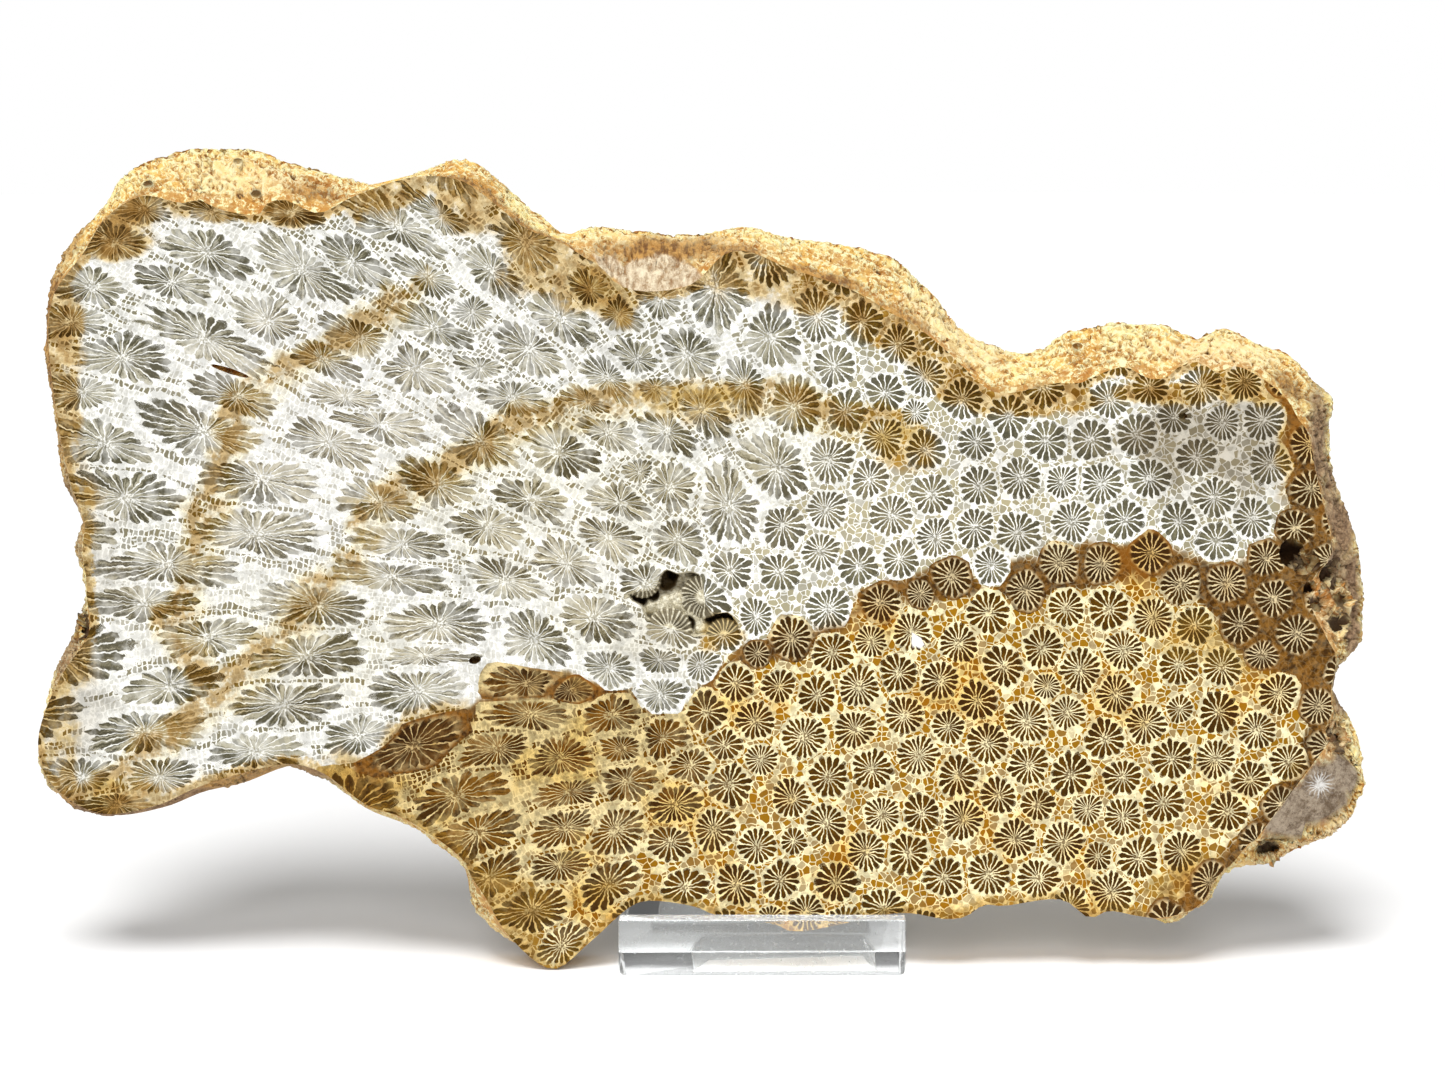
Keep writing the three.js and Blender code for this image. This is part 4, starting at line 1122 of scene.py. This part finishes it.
def cut_stone(name, colours, roughness, contrast, wear):
    """Cut fossil coral: pale walls, grey or brown chambers with painted light on one side of the
    drawn-out ones, fine cells, iron stains and patches of painted glare.
    """
    material, work, surface, place = new_material(name)
    fan = work.node("ShaderNodeAttribute", settings={"attribute_name": "fan"}).outputs["Vector"]
    fan = work.parts(fan)
    drawn = fan[2]
    inside, reach, chamber, tone, middle = corallite_pattern(work, place, drawn)
    opening, cell_luck = cell_pattern(work, place, fan)
    gold, seam, tan, brown = work.channels("stain_warm")
    grey, painted_glare, cream, rim = work.channels("stain_pale_and_glare")

    cloud = work.noise(place, 14, 3.0, 0.6)
    speckle = work.noise(place, 1.1, 3.0, 0.7)
    fine = work.noise(place, 0.35, 3.0, 0.7)
    edge_stain = work.ramp(work.minus(rim, work.times(speckle, 3.0)), 0.6, -0.9)
    brown = work.math("MAXIMUM", brown, work.times(edge_stain, 0.7))

    patchy = work.ramp(work.noise(place, 2.6, 3.0, 0.7), 0.3, 0.62, 0.45, 1.15)
    tan, brown = (work.times(stain, patchy, clamp=True) for stain in (tan, brown))
    zones = [  # how strong, how much of that on walls; colours of the walls, chambers and cells
        (gold, 1.0,
         colours["gold_wall"], colours["gold_chamber"], colours["gold_cell"]),
        (work.times(cream, 0.9), 1.0,
         shade(251, 247, 228), shade(94, 80, 42), shade(172, 156, 110)),
        # Painted glare: paler walls, chambers and cells, with less contrast between them.
        (work.times(painted_glare, 0.5), 1.0,
         shade(253, 252, 248), shade(146, 136, 116), shade(206, 198, 178)),
        (work.times(grey, 0.95), 1.0,
         shade(174, 164, 144), shade(72, 61, 42), shade(110, 98, 76)),
        (work.ramp(tan, 0.0, 0.5), 0.5,
         shade(238, 222, 170), shade(98, 80, 32), shade(156, 132, 74)),
        (work.ramp(tan, 0.45, 0.95), 0.8,
         shade(188, 152, 84), shade(82, 58, 12), shade(126, 94, 34)),
        (work.ramp(brown, 0.0, 0.5), 0.8,
         shade(218, 188, 116), shade(88, 64, 14), shade(150, 114, 44)),
        (work.ramp(brown, 0.4, 1.0), 0.85,
         shade(168, 124, 54), shade(58, 36, 0), shade(100, 64, 10)),
        (seam, 1.0,
         shade(234, 214, 168), shade(44, 26, 2), shade(90, 56, 12)),
    ]
    wall = colours["white_wall"]
    room = colours["grey_chamber"]
    cell = colours["grey_cell"]
    for share, on_walls, zone_wall, zone_room, zone_cell in zones:
        wall = work.mix(work.times(share, on_walls), wall, zone_wall)
        room = work.mix(share, room, zone_room)
        cell = work.mix(share, cell, zone_cell)
    mottle = work.ramp(work.noise(place, 1.8, 3.0, 0.7), 0.36, 0.6,
                       work.ramp(gold, 0, 1, 0.74, 0.62), 1.03)
    mottle = work.minus(mottle, work.times(drawn, work.ramp(gold, 0, 1, 0.1, 0.24)))
    wall = work.vector("SCALE", wall, scale=mottle)
    cell = work.vector("SCALE", cell, scale=work.ramp(cell_luck, 0.0, 1.0, 0.66, 1.3))

    tone = work.plus(tone, work.ramp(cloud, 0.3, 0.7, 0.25, -0.1))
    tone = work.plus(tone, work.ramp(fine, 0.25, 0.7, 0.35, -0.15))
    # The chambers' colour follows their tone, which on the drawn-out ones holds painted light on
    # one side.
    toned_room = work.vector("SCALE", room, scale=work.ramp(tone, 0.0, 1.3, 0.7, 2.2))
    # Light parts of the drawn-out petals fade to the walls' and cells' colour: partly their own
    # tone, partly painted light on their lighter side.
    petal_light = work.times(drawn, work.ramp(tone, 0.3, 1.4, 0.0, 0.75))
    petal_light = work.times(petal_light, work.ramp(gold, 0, 1, 1.0, 0.42))
    petal_colour = work.mix(work.ramp(gold, 0, 1, 0.3, 0.1), cell, wall)
    toned_room = work.mix(petal_light, toned_room, petal_colour)
    fade = work.times(drawn, work.ramp(work.noise(place, 3.5, 3.0, 0.6), 0.45, 0.65, 0.0, 0.35))
    petal = work.times(chamber, work.times(work.minus(1, fade), contrast))
    in_calice = work.mix(petal, wall, toned_room)
    sponge = work.times(middle, work.ramp(work.noise(place, 0.36, 1.0), 0.44, 0.56))
    in_calice = work.mix(work.times(sponge, 0.8 * contrast), in_calice, toned_room)
    seam_light = work.plus(work.times(speckle, 0.6), work.times(cloud, 0.4))
    seam_light = work.ramp(seam_light, 0.38, 0.6)
    seam_brown = work.mix(seam_light, shade(58, 34, 4), shade(134, 92, 34))
    seam_edge = work.times(work.ramp(reach, 0.74, 0.97, 0.12, 1.0), seam)
    in_calice = work.mix(seam_edge, in_calice, seam_brown)
    cell = work.mix(work.times(drawn, work.ramp(gold, 0, 1, 0.65, 0.85)), cell, room)
    pale = work.times(opening, work.ramp(cell_luck, 0.1, 0.9, 0.7, 1.3))
    between = work.mix(work.times(pale, contrast, clamp=True), wall, cell)
    between = work.mix(work.times(seam, 0.92), between, seam_brown)
    colour = work.mix(inside, between, in_calice)
    amber = work.plus(work.ramp(cloud, 0.48, 0.7), work.times(drawn, 0.6), clamp=True)
    amber = work.times(work.times(amber, gold), 0.75)
    colour = work.mix(amber, colour, shade(244, 212, 130), blend="MULTIPLY")
    colour = work.mix(work.ramp(work.attribute("chip"), 0.3, 0.6), colour, shade(254, 253, 250))
    worn = work.times(work.ramp(speckle, 0.35, 0.7), wear)
    colour = work.mix(worn, colour, shade(176, 150, 112))
    work.feed(surface.inputs["Base Color"], colour)
    rough = work.ramp(fine, 0.2, 0.8, roughness - 0.06, roughness + 0.08)
    work.feed(surface.inputs["Roughness"], rough)
    surface.inputs["Specular IOR Level"].default_value = 0.12
    height = work.plus(work.times(petal, -0.5), work.times(fine, 0.25 + wear))
    bump = work.node("ShaderNodeBump", Height=height, Strength=0.35, Distance=0.08 * MM)
    work.feed(surface.inputs["Normal"], bump.outputs[0])
    return material


def facet_star(work, place):
    """Rays of one worn corallite on the unpolished facet."""
    centre = to_world(from_grid(FACET_STAR), 0.0)
    away = work.vector("SUBTRACT", place, tuple(centre))
    x = work.vector("DOT_PRODUCT", away, tuple(ACROSS))
    y = work.vector("DOT_PRODUCT", away, tuple(UP_FACE))
    reach = work.vector("LENGTH", work.point(x, y, 0))
    reach = work.math("DIVIDE", reach, 3.0 * MM)
    turn = work.plus(work.math("ARCTAN2", y, x), work.times(work.noise(place, 1.2), 0.6))
    ray = work.math("ABSOLUTE", work.math("SINE", work.times(turn, 9)))
    ray = work.ramp(work.times(ray, reach), 0.5, 0.1)
    ray = work.times(ray, work.ramp(work.noise(place, 0.8, 2.0), 0.3, 0.6, 0.3, 0.9))
    return work.times(ray, work.ramp(reach, 1.15, 0.3))


def rind_stone(colours):
    """Weathered outer rind: crumbly cream over ochre, rust at the rim, dull brown at the ends, with
    painted shade in its creases, hollows, hole mouths and underside and painted highlights on its
    convex crumbs.
    """
    material, work, surface, place = new_material("weathered_rind")
    hollow = work.attribute("hollow")
    facet = work.attribute("facet")
    dull, rust, cream, hole_shade = work.channels("rind_stain_and_shade")
    large = work.noise(place, 9, 3.0, 0.6)
    crumbs = work.noise(place, 1.3, 4.0, 0.75)
    fine = work.noise(place, 0.45, 3.0, 0.7)
    raised = work.node("ShaderNodeNewGeometry").outputs["Pointiness"]
    raised = work.plus(raised, work.times(work.minus(fine, 0.5), 0.08))
    colour = work.mix(work.ramp(large, 0.35, 0.65), colours["ochre"], colours["sand"])
    colour = work.mix(work.times(cream, 0.7), colour, shade(254, 234, 182))
    rusty = work.math("MAXIMUM", rust, work.ramp(work.noise(place, 6, 3.0, 0.6), 0.58, 0.72))
    colour = work.mix(work.times(rusty, work.ramp(crumbs, 0.66, 0.42)), colour, colours["rust"])
    # Painted shade: concave places take the rust colour.
    colour = work.mix(work.ramp(raised, 0.495, 0.42), colour, colours["rust"])
    specks = work.ramp(work.noise(place, 1.6, 3.0, 0.7), 0.5, 0.36, 0.0, 0.75)
    colour = work.mix(work.times(specks, work.ramp(cream, 0, 1, 1.0, 0.3)), colour, colours["rust"])
    # Pale crumbs: some picked by noise, the stone's own colour, and the convex ones, painted
    # highlights on their edges.
    pale = work.math("MAXIMUM", work.ramp(raised, 0.502, 0.55), work.ramp(crumbs, 0.52, 0.6))
    pale_crumbs_and_highlight = work.mix(cream, shade(255, 248, 196), shade(253, 230, 182))
    colour = work.mix(work.times(pale, 0.9), colour, pale_crumbs_and_highlight)
    # Painted shade: the deepest hollows of the crumbs, pits and cracks darken to the pit colour.
    colour = work.mix(work.ramp(hollow, 1.25, 1.9), colour, colours["pit"])
    streaks = work.noise(work.vector("MULTIPLY", place, (1.5, 1.0, 0.5)), 1.6, 3.0, 0.7)
    amber = work.mix(work.ramp(streaks, 0.36, 0.62), shade(108, 66, 20), shade(200, 150, 78))
    colour = work.mix(work.times(work.attribute("amber"), 0.95), colour, amber)
    opal = work.mix(work.ramp(streaks, 0.3, 0.66), shade(158, 122, 82), shade(244, 228, 196))
    colour = work.mix(work.ramp(work.attribute("opal"), 0.2, 0.6), colour, opal)
    # Painted shade: faces of the rind that turn downward are painted browner.
    _, _, upward = work.parts(work.node("ShaderNodeNewGeometry").outputs["True Normal"])
    colour = work.mix(work.ramp(upward, 0.0, -0.7, 0.0, 0.55), colour, shade(190, 142, 82))
    grain = work.mix(work.ramp(crumbs, 0.35, 0.65), shade(104, 76, 50), shade(178, 146, 112))
    colour = work.mix(dull, colour, grain)
    stone = work.mix(work.ramp(work.noise(place, 2.4, 5.0, 0.85), 0.36, 0.62), shade(100, 80, 58),
                     shade(172, 155, 133))
    dark_grit = work.ramp(work.noise(place, 0.55, 3.0, 0.7), 0.42, 0.3, 0.0, 0.7)
    stone = work.mix(dark_grit, stone, shade(84, 64, 44))
    colour = work.mix(facet, colour, work.mix(facet_star(work, place), stone, shade(238, 236, 232)))
    # Painted shade in the mouths of holes.
    colour = work.mix(work.ramp(hole_shade, 0.15, 0.85), colour, shade(72, 49, 27))
    work.feed(surface.inputs["Base Color"], colour)
    work.feed(surface.inputs["Roughness"], work.ramp(crumbs, 0.3, 0.7, 0.6, 0.85))
    height = work.plus(crumbs, work.times(fine, 0.6))
    bump = work.node("ShaderNodeBump", Height=height, Strength=1.0, Distance=0.5 * MM)
    work.feed(surface.inputs["Normal"], bump.outputs[0])
    return material


def vug_stone():
    """Broken stone inside the vug: chalky ridges, darker grooves, and painted shade that turns it
    brown where it is deep.
    """
    material, work, surface, place = new_material("broken_vug_stone")
    hollow = work.attribute("hollow")
    grit = work.noise(place, 0.6, 3.0, 0.7)
    golden = work.attribute("golden")
    colour = work.mix(work.ramp(grit, 0.35, 0.65), shade(174, 164, 134), shade(238, 232, 210))
    colour = work.mix(golden, colour, work.mix(grit, shade(176, 146, 82), shade(246, 230, 180)))
    # The flanks' grooves darken: partly the chambers' darker stone, partly painted shade in the
    # grooves.
    grooved = work.ramp(work.attribute("groove"), 0.2, 0.9, 0.0, 0.85)
    colour = work.mix(grooved, colour, shade(98, 86, 60))
    # Painted shade: the deeper the vug, the browner and darker.
    colour = work.mix(work.ramp(hollow, 1.9, 4.6), colour, shade(88, 70, 38))
    work.feed(surface.inputs["Base Color"], colour)
    surface.inputs["Roughness"].default_value = 0.7
    bump = work.node("ShaderNodeBump", Height=grit, Strength=0.6, Distance=0.15 * MM)
    work.feed(surface.inputs["Normal"], bump.outputs[0])
    return material


def clear_acrylic(tint):
    """Clear cast acrylic with faint scuffs."""
    material, work, surface, place = new_material("clear_acrylic")
    surface.inputs["Base Color"].default_value = tint
    surface.inputs["Transmission Weight"].default_value = 0.92
    surface.inputs["IOR"].default_value = 1.49
    scuffs = work.ramp(work.noise(place, 3.0, 4.0, 0.7), 0.45, 0.75, 0.02, 0.1)
    specks = work.ramp(work.noise(place, 0.7, 2.0, 0.6), 0.64, 0.7, 0.0, 0.6)
    work.feed(surface.inputs["Roughness"], work.plus(scuffs, specks))
    return material


# ---------------------------------------------------------------- what a user would change

class FossilCoralSettings(bpy.types.PropertyGroup):
    """Sizes and colours of the stone."""
    seed: IntProperty(
        name="Seed", description="Changes how the packed corallites and the rind's crumbs fall",
        default=4)
    wall_gap: FloatProperty(
        name="Corallite gap", description="Least stone between corallite outlines, in mm",
        default=0.22, min=0.0, max=0.6)
    crumb_size: FloatProperty(
        name="Crumb size", description="Width of the rind's crumbs, in mm",
        default=1.2, min=0.4, max=6)
    crumb_depth: FloatProperty(
        name="Crumb depth", description="Relief of the rind's crumbs, in mm",
        default=1.1, min=0, max=2)
    pit_size: FloatProperty(
        name="Pit size", description="Spacing of the rind's small pits, in mm",
        default=3.4, min=1, max=12)
    pit_depth: FloatProperty(
        name="Pit depth", description="Depth of the rind's small pits, in mm",
        default=0.7, min=0, max=3)
    crack_depth: FloatProperty(
        name="Crack depth", description="Depth of the rind's cracks, in mm",
        default=0.75, min=0, max=2)
    white_wall: FloatVectorProperty(
        name="White walls", description="Walls in the white stone",
        subtype="COLOR", size=4, min=0, max=1, default=shade(254, 253, 246))
    grey_chamber: FloatVectorProperty(
        name="Grey chambers", description="Chambers in the white stone",
        subtype="COLOR", size=4, min=0, max=1, default=shade(95, 91, 71))
    grey_cell: FloatVectorProperty(
        name="Pale cells", description="Fine cells in the white stone",
        subtype="COLOR", size=4, min=0, max=1, default=shade(154, 147, 120))
    gold_wall: FloatVectorProperty(
        name="Cream walls", description="Walls in the gold stone",
        subtype="COLOR", size=4, min=0, max=1, default=shade(252, 239, 192))
    gold_chamber: FloatVectorProperty(
        name="Brown chambers", description="Chambers in the gold stone",
        subtype="COLOR", size=4, min=0, max=1, default=shade(70, 44, 0))
    gold_cell: FloatVectorProperty(
        name="Gold cells", description="Fine cells in the gold stone",
        subtype="COLOR", size=4, min=0, max=1, default=shade(140, 98, 12))
    sand: FloatVectorProperty(
        name="Sand", description="Palest ground of the rind",
        subtype="COLOR", size=4, min=0, max=1, default=shade(255, 236, 160))
    ochre: FloatVectorProperty(
        name="Ochre", description="Yellow ground of the rind",
        subtype="COLOR", size=4, min=0, max=1, default=shade(242, 194, 96))
    # Besides iron stain, this is the colour of the painted shade in the rind's creases.
    rust: FloatVectorProperty(
        name="Rust", description="Iron stain on the rind",
        subtype="COLOR", size=4, min=0, max=1, default=shade(184, 118, 40))
    # Painted shade: the colour that the rind's deepest hollows darken to.
    pit: FloatVectorProperty(
        name="Pit", description="Dirt in the rind's pits",
        subtype="COLOR", size=4, min=0, max=1, default=shade(84, 54, 22))


class AcrylicStandSettings(bpy.types.PropertyGroup):
    """The clear stand."""
    edge_round: FloatProperty(
        name="Edge rounding", description="Rounding of the stand's edges",
        default=0.35 * MM, min=0, max=1 * MM, unit="LENGTH")
    tint: FloatVectorProperty(
        name="Tint", description="Colour of the acrylic",
        subtype="COLOR", size=4, min=0, max=1, default=shade(250, 252, 252))


class StageSettings(bpy.types.PropertyGroup):
    """Floor, light and camera."""
    floor: FloatVectorProperty(
        name="Floor", description="Colour of the floor",
        subtype="COLOR", size=4, min=0, max=1, default=shade(253, 253, 253))
    sky_strength: FloatProperty(
        name="Sky strength", description="Light from all round",
        default=0.34, min=0, max=5)
    key_strength: FloatProperty(
        name="Key strength", description="Strength of the large light overhead",
        default=2.4, min=0, max=20)
    front_strength: FloatProperty(
        name="Front strength", description="Strength of the light at the front",
        default=0.88, min=0, max=20)
    camera_distance: FloatProperty(
        name="Camera distance", description="Camera to the polished face",
        default=0.52, min=0.2, max=3, unit="LENGTH")


# ---------------------------------------------------------------- operators

VIEW_WIDTH = 1445               # grid units across the camera's view of the face
VIEW_MIDDLE = (722.5, 542)      # and the grid place that it looks at
SENSOR_WIDTH = 36               # mm
FLOOR_RADIUS = 6                # metres
LIGHT_SPREAD = math.radians(26)


class MakeCutFaces(bpy.types.Operator):
    """Makes the polished front face and the sawn back face of the slab"""
    bl_idname = "fossil_coral.make_cut_faces"
    bl_label = "Cut faces"

    def execute(self, context):
        stone = context.scene.fossil_coral
        centres, axes = pack_corallites(*plane_edges("front"), stone.seed)
        draws = np.random.default_rng(stone.seed)
        corallites = [Corallite(*place, draws) for place in zip(centres, axes)]
        trim_outlines(corallites, stone.wall_gap)
        colours = {name: getattr(stone, name)[:] for name in (
            "white_wall", "grey_chamber", "grey_cell", "gold_wall", "gold_chamber", "gold_cell")}
        polished = cut_stone("polished_coral", colours, 0.3, 1.0, 0.0)
        cut_face_piece("polished_face", "front", corallites, polished)
        sawn = cut_stone("sawn_coral", colours, 0.62, 0.7, 0.35)
        cut_face_piece("back_face", "back", corallites, sawn)
        return {"FINISHED"}


class MakeRind(bpy.types.Operator):
    """Makes the rough outer rind of the slab"""
    bl_idname = "fossil_coral.make_rind"
    bl_label = "Rough rind"

    def execute(self, context):
        stone = context.scene.fossil_coral
        blank = rind_blank()
        mesh = bpy.data.meshes.new("rind")
        blank.to_mesh(mesh)
        blank.free()
        places = to_slab(np.array([v.co[:] for v in mesh.vertices]))
        grid = to_grid(places[:, :2])
        facet = np.array([d.value for d in mesh.attributes["facet"].data])
        ragged = 5 * (value_noise(grid, 7, 36) - 0.5)
        facet *= smooth_step(-1.5, 1.5, signed_distance(grid, FACET_OUTLINE) + ragged)
        mesh.attributes["facet"].data.foreach_set("value", facet)
        loose = smooth_step(0.0, 1.2, places[:, 2])
        loose = loose * smooth_step(0.0, 0.8, SLAB_THICKNESS - places[:, 2])
        loose = loose * (1 + 0.55 * patch_field(grid, EATEN_RIND, 34)) * (1 - facet)
        for x, y, radius in SHARP_PITS:
            gap = np.linalg.norm(places[:, :2] - from_grid((x, y)), axis=1)
            loose = loose * smooth_step(radius, radius * 1.8, gap)
        set_number(mesh, "loose", loose)
        rim = 1 - smooth_step(0.4, 1.8, places[:, 2])
        rust = np.maximum(patch_field(grid, RUST_RIND, 32), 0.8 * rim)
        set_colour(mesh, "rind_stain_and_shade", patch_field(grid, DULL_RIND, 31), rust,
                   patch_field(grid, CREAM_RIND, 33), patch_field(grid, HOLE_SHADE_PATCHES, 35),
                   domain="POINT")
        set_number(mesh, "opal", patch_field(grid, OPAL_RIND, 37))
        set_number(mesh, "amber", patch_field(grid, AMBER_RIND, 37))
        colours = {name: getattr(stone, name)[:] for name in ("sand", "ochre", "rust", "pit")}
        material = rind_stone(colours)
        piece = bpy.data.objects.new("rind", mesh)
        context.scene.collection.objects.link(piece)
        solid_mesh(piece, rind_tree(), {
            "Crumb Size": stone.crumb_size, "Crumb Depth": stone.crumb_depth,
            "Pit Size": stone.pit_size, "Pit Depth": stone.pit_depth,
            "Crack Depth": stone.crack_depth, "Fineness": FINENESS, "Seed": stone.seed,
            "Material": material})
        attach(piece, "root")
        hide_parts("coral_slice")
        return {"FINISHED"}


class MakeVug(bpy.types.Operator):
    """Makes the broken hole in the polished face"""
    bl_idname = "fossil_coral.make_vug"
    bl_label = "Broken vug"

    def execute(self, context):
        vug_piece(vug_stone())
        return {"FINISHED"}


class MakeStand(bpy.types.Operator):
    """Makes the clear acrylic stand"""
    bl_idname = "fossil_coral.make_stand"
    bl_label = "Acrylic stand"

    def execute(self, context):
        settings = context.scene.fossil_coral_stand
        blank = cad_mesh("display_stand")
        bmesh.ops.dissolve_limit(blank, angle_limit=math.radians(1),
                                 verts=blank.verts, edges=blank.edges)
        mesh = bpy.data.meshes.new("acrylic_stand")
        blank.to_mesh(mesh)
        blank.free()
        mesh.materials.append(clear_acrylic(settings.tint[:]))
        piece = bpy.data.objects.new("acrylic_stand", mesh)
        context.scene.collection.objects.link(piece)
        bevel = piece.modifiers.new("eased_edges", "BEVEL")
        bevel.width, bevel.segments = settings.edge_round, 3
        bevel.limit_method, bevel.angle_limit = "ANGLE", math.radians(50)
        bevel.harden_normals = True
        mesh.polygons.foreach_set("use_smooth", [True] * len(mesh.polygons))
        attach(piece, "root")
        piece.visible_shadow = False
        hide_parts("display_stand")
        return {"FINISHED"}


class MakeStage(bpy.types.Operator):
    """Makes the floor, the lights and the camera"""
    bl_idname = "fossil_coral.make_stage"
    bl_label = "Stage"

    def execute(self, context):
        settings = context.scene.fossil_coral_stage
        floor_mesh = bpy.data.meshes.new("floor")
        disc = bmesh.new()
        bmesh.ops.create_circle(disc, cap_ends=True, segments=96, radius=FLOOR_RADIUS)
        disc.to_mesh(floor_mesh)
        disc.free()
        floor = bpy.data.objects.new("floor", floor_mesh)
        context.scene.collection.objects.link(floor)
        material, work, surface, place = new_material("matt_white_card")
        surface.inputs["Base Color"].default_value = settings.floor[:]
        rough = work.ramp(work.noise(place, 4), 0.3, 0.7, 0.75, 0.85)
        work.feed(surface.inputs["Roughness"], rough)
        floor_mesh.materials.append(material)

        world = bpy.data.worlds.new("white_room")
        context.scene.world = world
        world.use_nodes = True
        air = Workbench(world.node_tree)
        path = air.node("ShaderNodeLightPath").outputs
        sky = world.node_tree.nodes["Background"]
        sky.inputs["Color"].default_value = (1, 1, 1, 1)
        dimmed = air.times(path["Is Diffuse Ray"], 1 - settings.sky_strength)
        outside = air.math("LESS_THAN", path["Transmission Depth"], 0.5)
        gloss = air.times(path["Is Glossy Ray"], outside)
        dimmed = air.plus(dimmed, air.times(gloss, 0.65))
        air.feed(sky.inputs["Strength"], air.minus(1.0, dimmed))

        for name, place, power in (
                ("overhead_light", (-0.12, -0.42, 1.0), settings.key_strength),
                ("front_light", (-0.15, -1.0, 0.6), settings.front_strength)):
            lamp = bpy.data.lights.new(name, "SUN")
            lamp.angle, lamp.energy = LIGHT_SPREAD, power
            light = bpy.data.objects.new(name, lamp)
            light.location = place
            light.visible_glossy = name == "overhead_light"
            light.rotation_euler = (-light.location).to_track_quat("-Z", "Y").to_euler()
            context.scene.collection.objects.link(light)

        lens = bpy.data.cameras.new("camera")
        lens.sensor_width = SENSOR_WIDTH
        lens.lens = SENSOR_WIDTH * settings.camera_distance / (VIEW_WIDTH / GRID_PER_MM * MM)
        lens.clip_start, lens.clip_end = 0.02, 50
        camera = bpy.data.objects.new("camera", lens)
        context.scene.collection.objects.link(camera)
        target = to_world(from_grid(VIEW_MIDDLE), 0.0)
        camera.location = target - settings.camera_distance * INTO_STONE
        camera.rotation_euler = Vector(INTO_STONE).to_track_quat("-Z", "Y").to_euler()
        context.scene.camera = camera
        context.scene.view_settings.view_transform = "Standard"
        return {"FINISHED"}


class FossilCoralPanel(bpy.types.Panel):
    """Lists the pieces of the fossil coral slice and their settings"""
    bl_idname = "VIEW3D_PT_fossil_coral"
    bl_label = "Fossil coral slice"
    bl_space_type = "VIEW_3D"
    bl_region_type = "UI"
    bl_category = "Fossil coral"

    def draw(self, context):
        scene = context.scene
        for settings, operators in (
                (scene.fossil_coral, (MakeCutFaces, MakeRind, MakeVug)),
                (scene.fossil_coral_stand, (MakeStand,)),
                (scene.fossil_coral_stage, (MakeStage,))):
            box = self.layout.box()
            for name in settings.__annotations__:
                box.prop(settings, name)
            for operator in operators:
                box.operator(operator.bl_idname)


CLASSES = (FossilCoralSettings, AcrylicStandSettings, StageSettings,
           MakeCutFaces, MakeRind, MakeVug, MakeStand, MakeStage, FossilCoralPanel)


def register():
    for cls in CLASSES:
        bpy.utils.register_class(cls)
    bpy.types.Scene.fossil_coral = PointerProperty(type=FossilCoralSettings)
    bpy.types.Scene.fossil_coral_stand = PointerProperty(type=AcrylicStandSettings)
    bpy.types.Scene.fossil_coral_stage = PointerProperty(type=StageSettings)


def unregister():
    del bpy.types.Scene.fossil_coral_stage
    del bpy.types.Scene.fossil_coral_stand
    del bpy.types.Scene.fossil_coral
    for cls in reversed(CLASSES):
        bpy.utils.unregister_class(cls)


def main():
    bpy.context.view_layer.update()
    register()
    bpy.ops.fossil_coral.make_stage()
    bpy.ops.fossil_coral.make_cut_faces()
    bpy.ops.fossil_coral.make_rind()
    bpy.ops.fossil_coral.make_vug()
    bpy.ops.fossil_coral.make_stand()


if __name__ == "__main__":
    main()
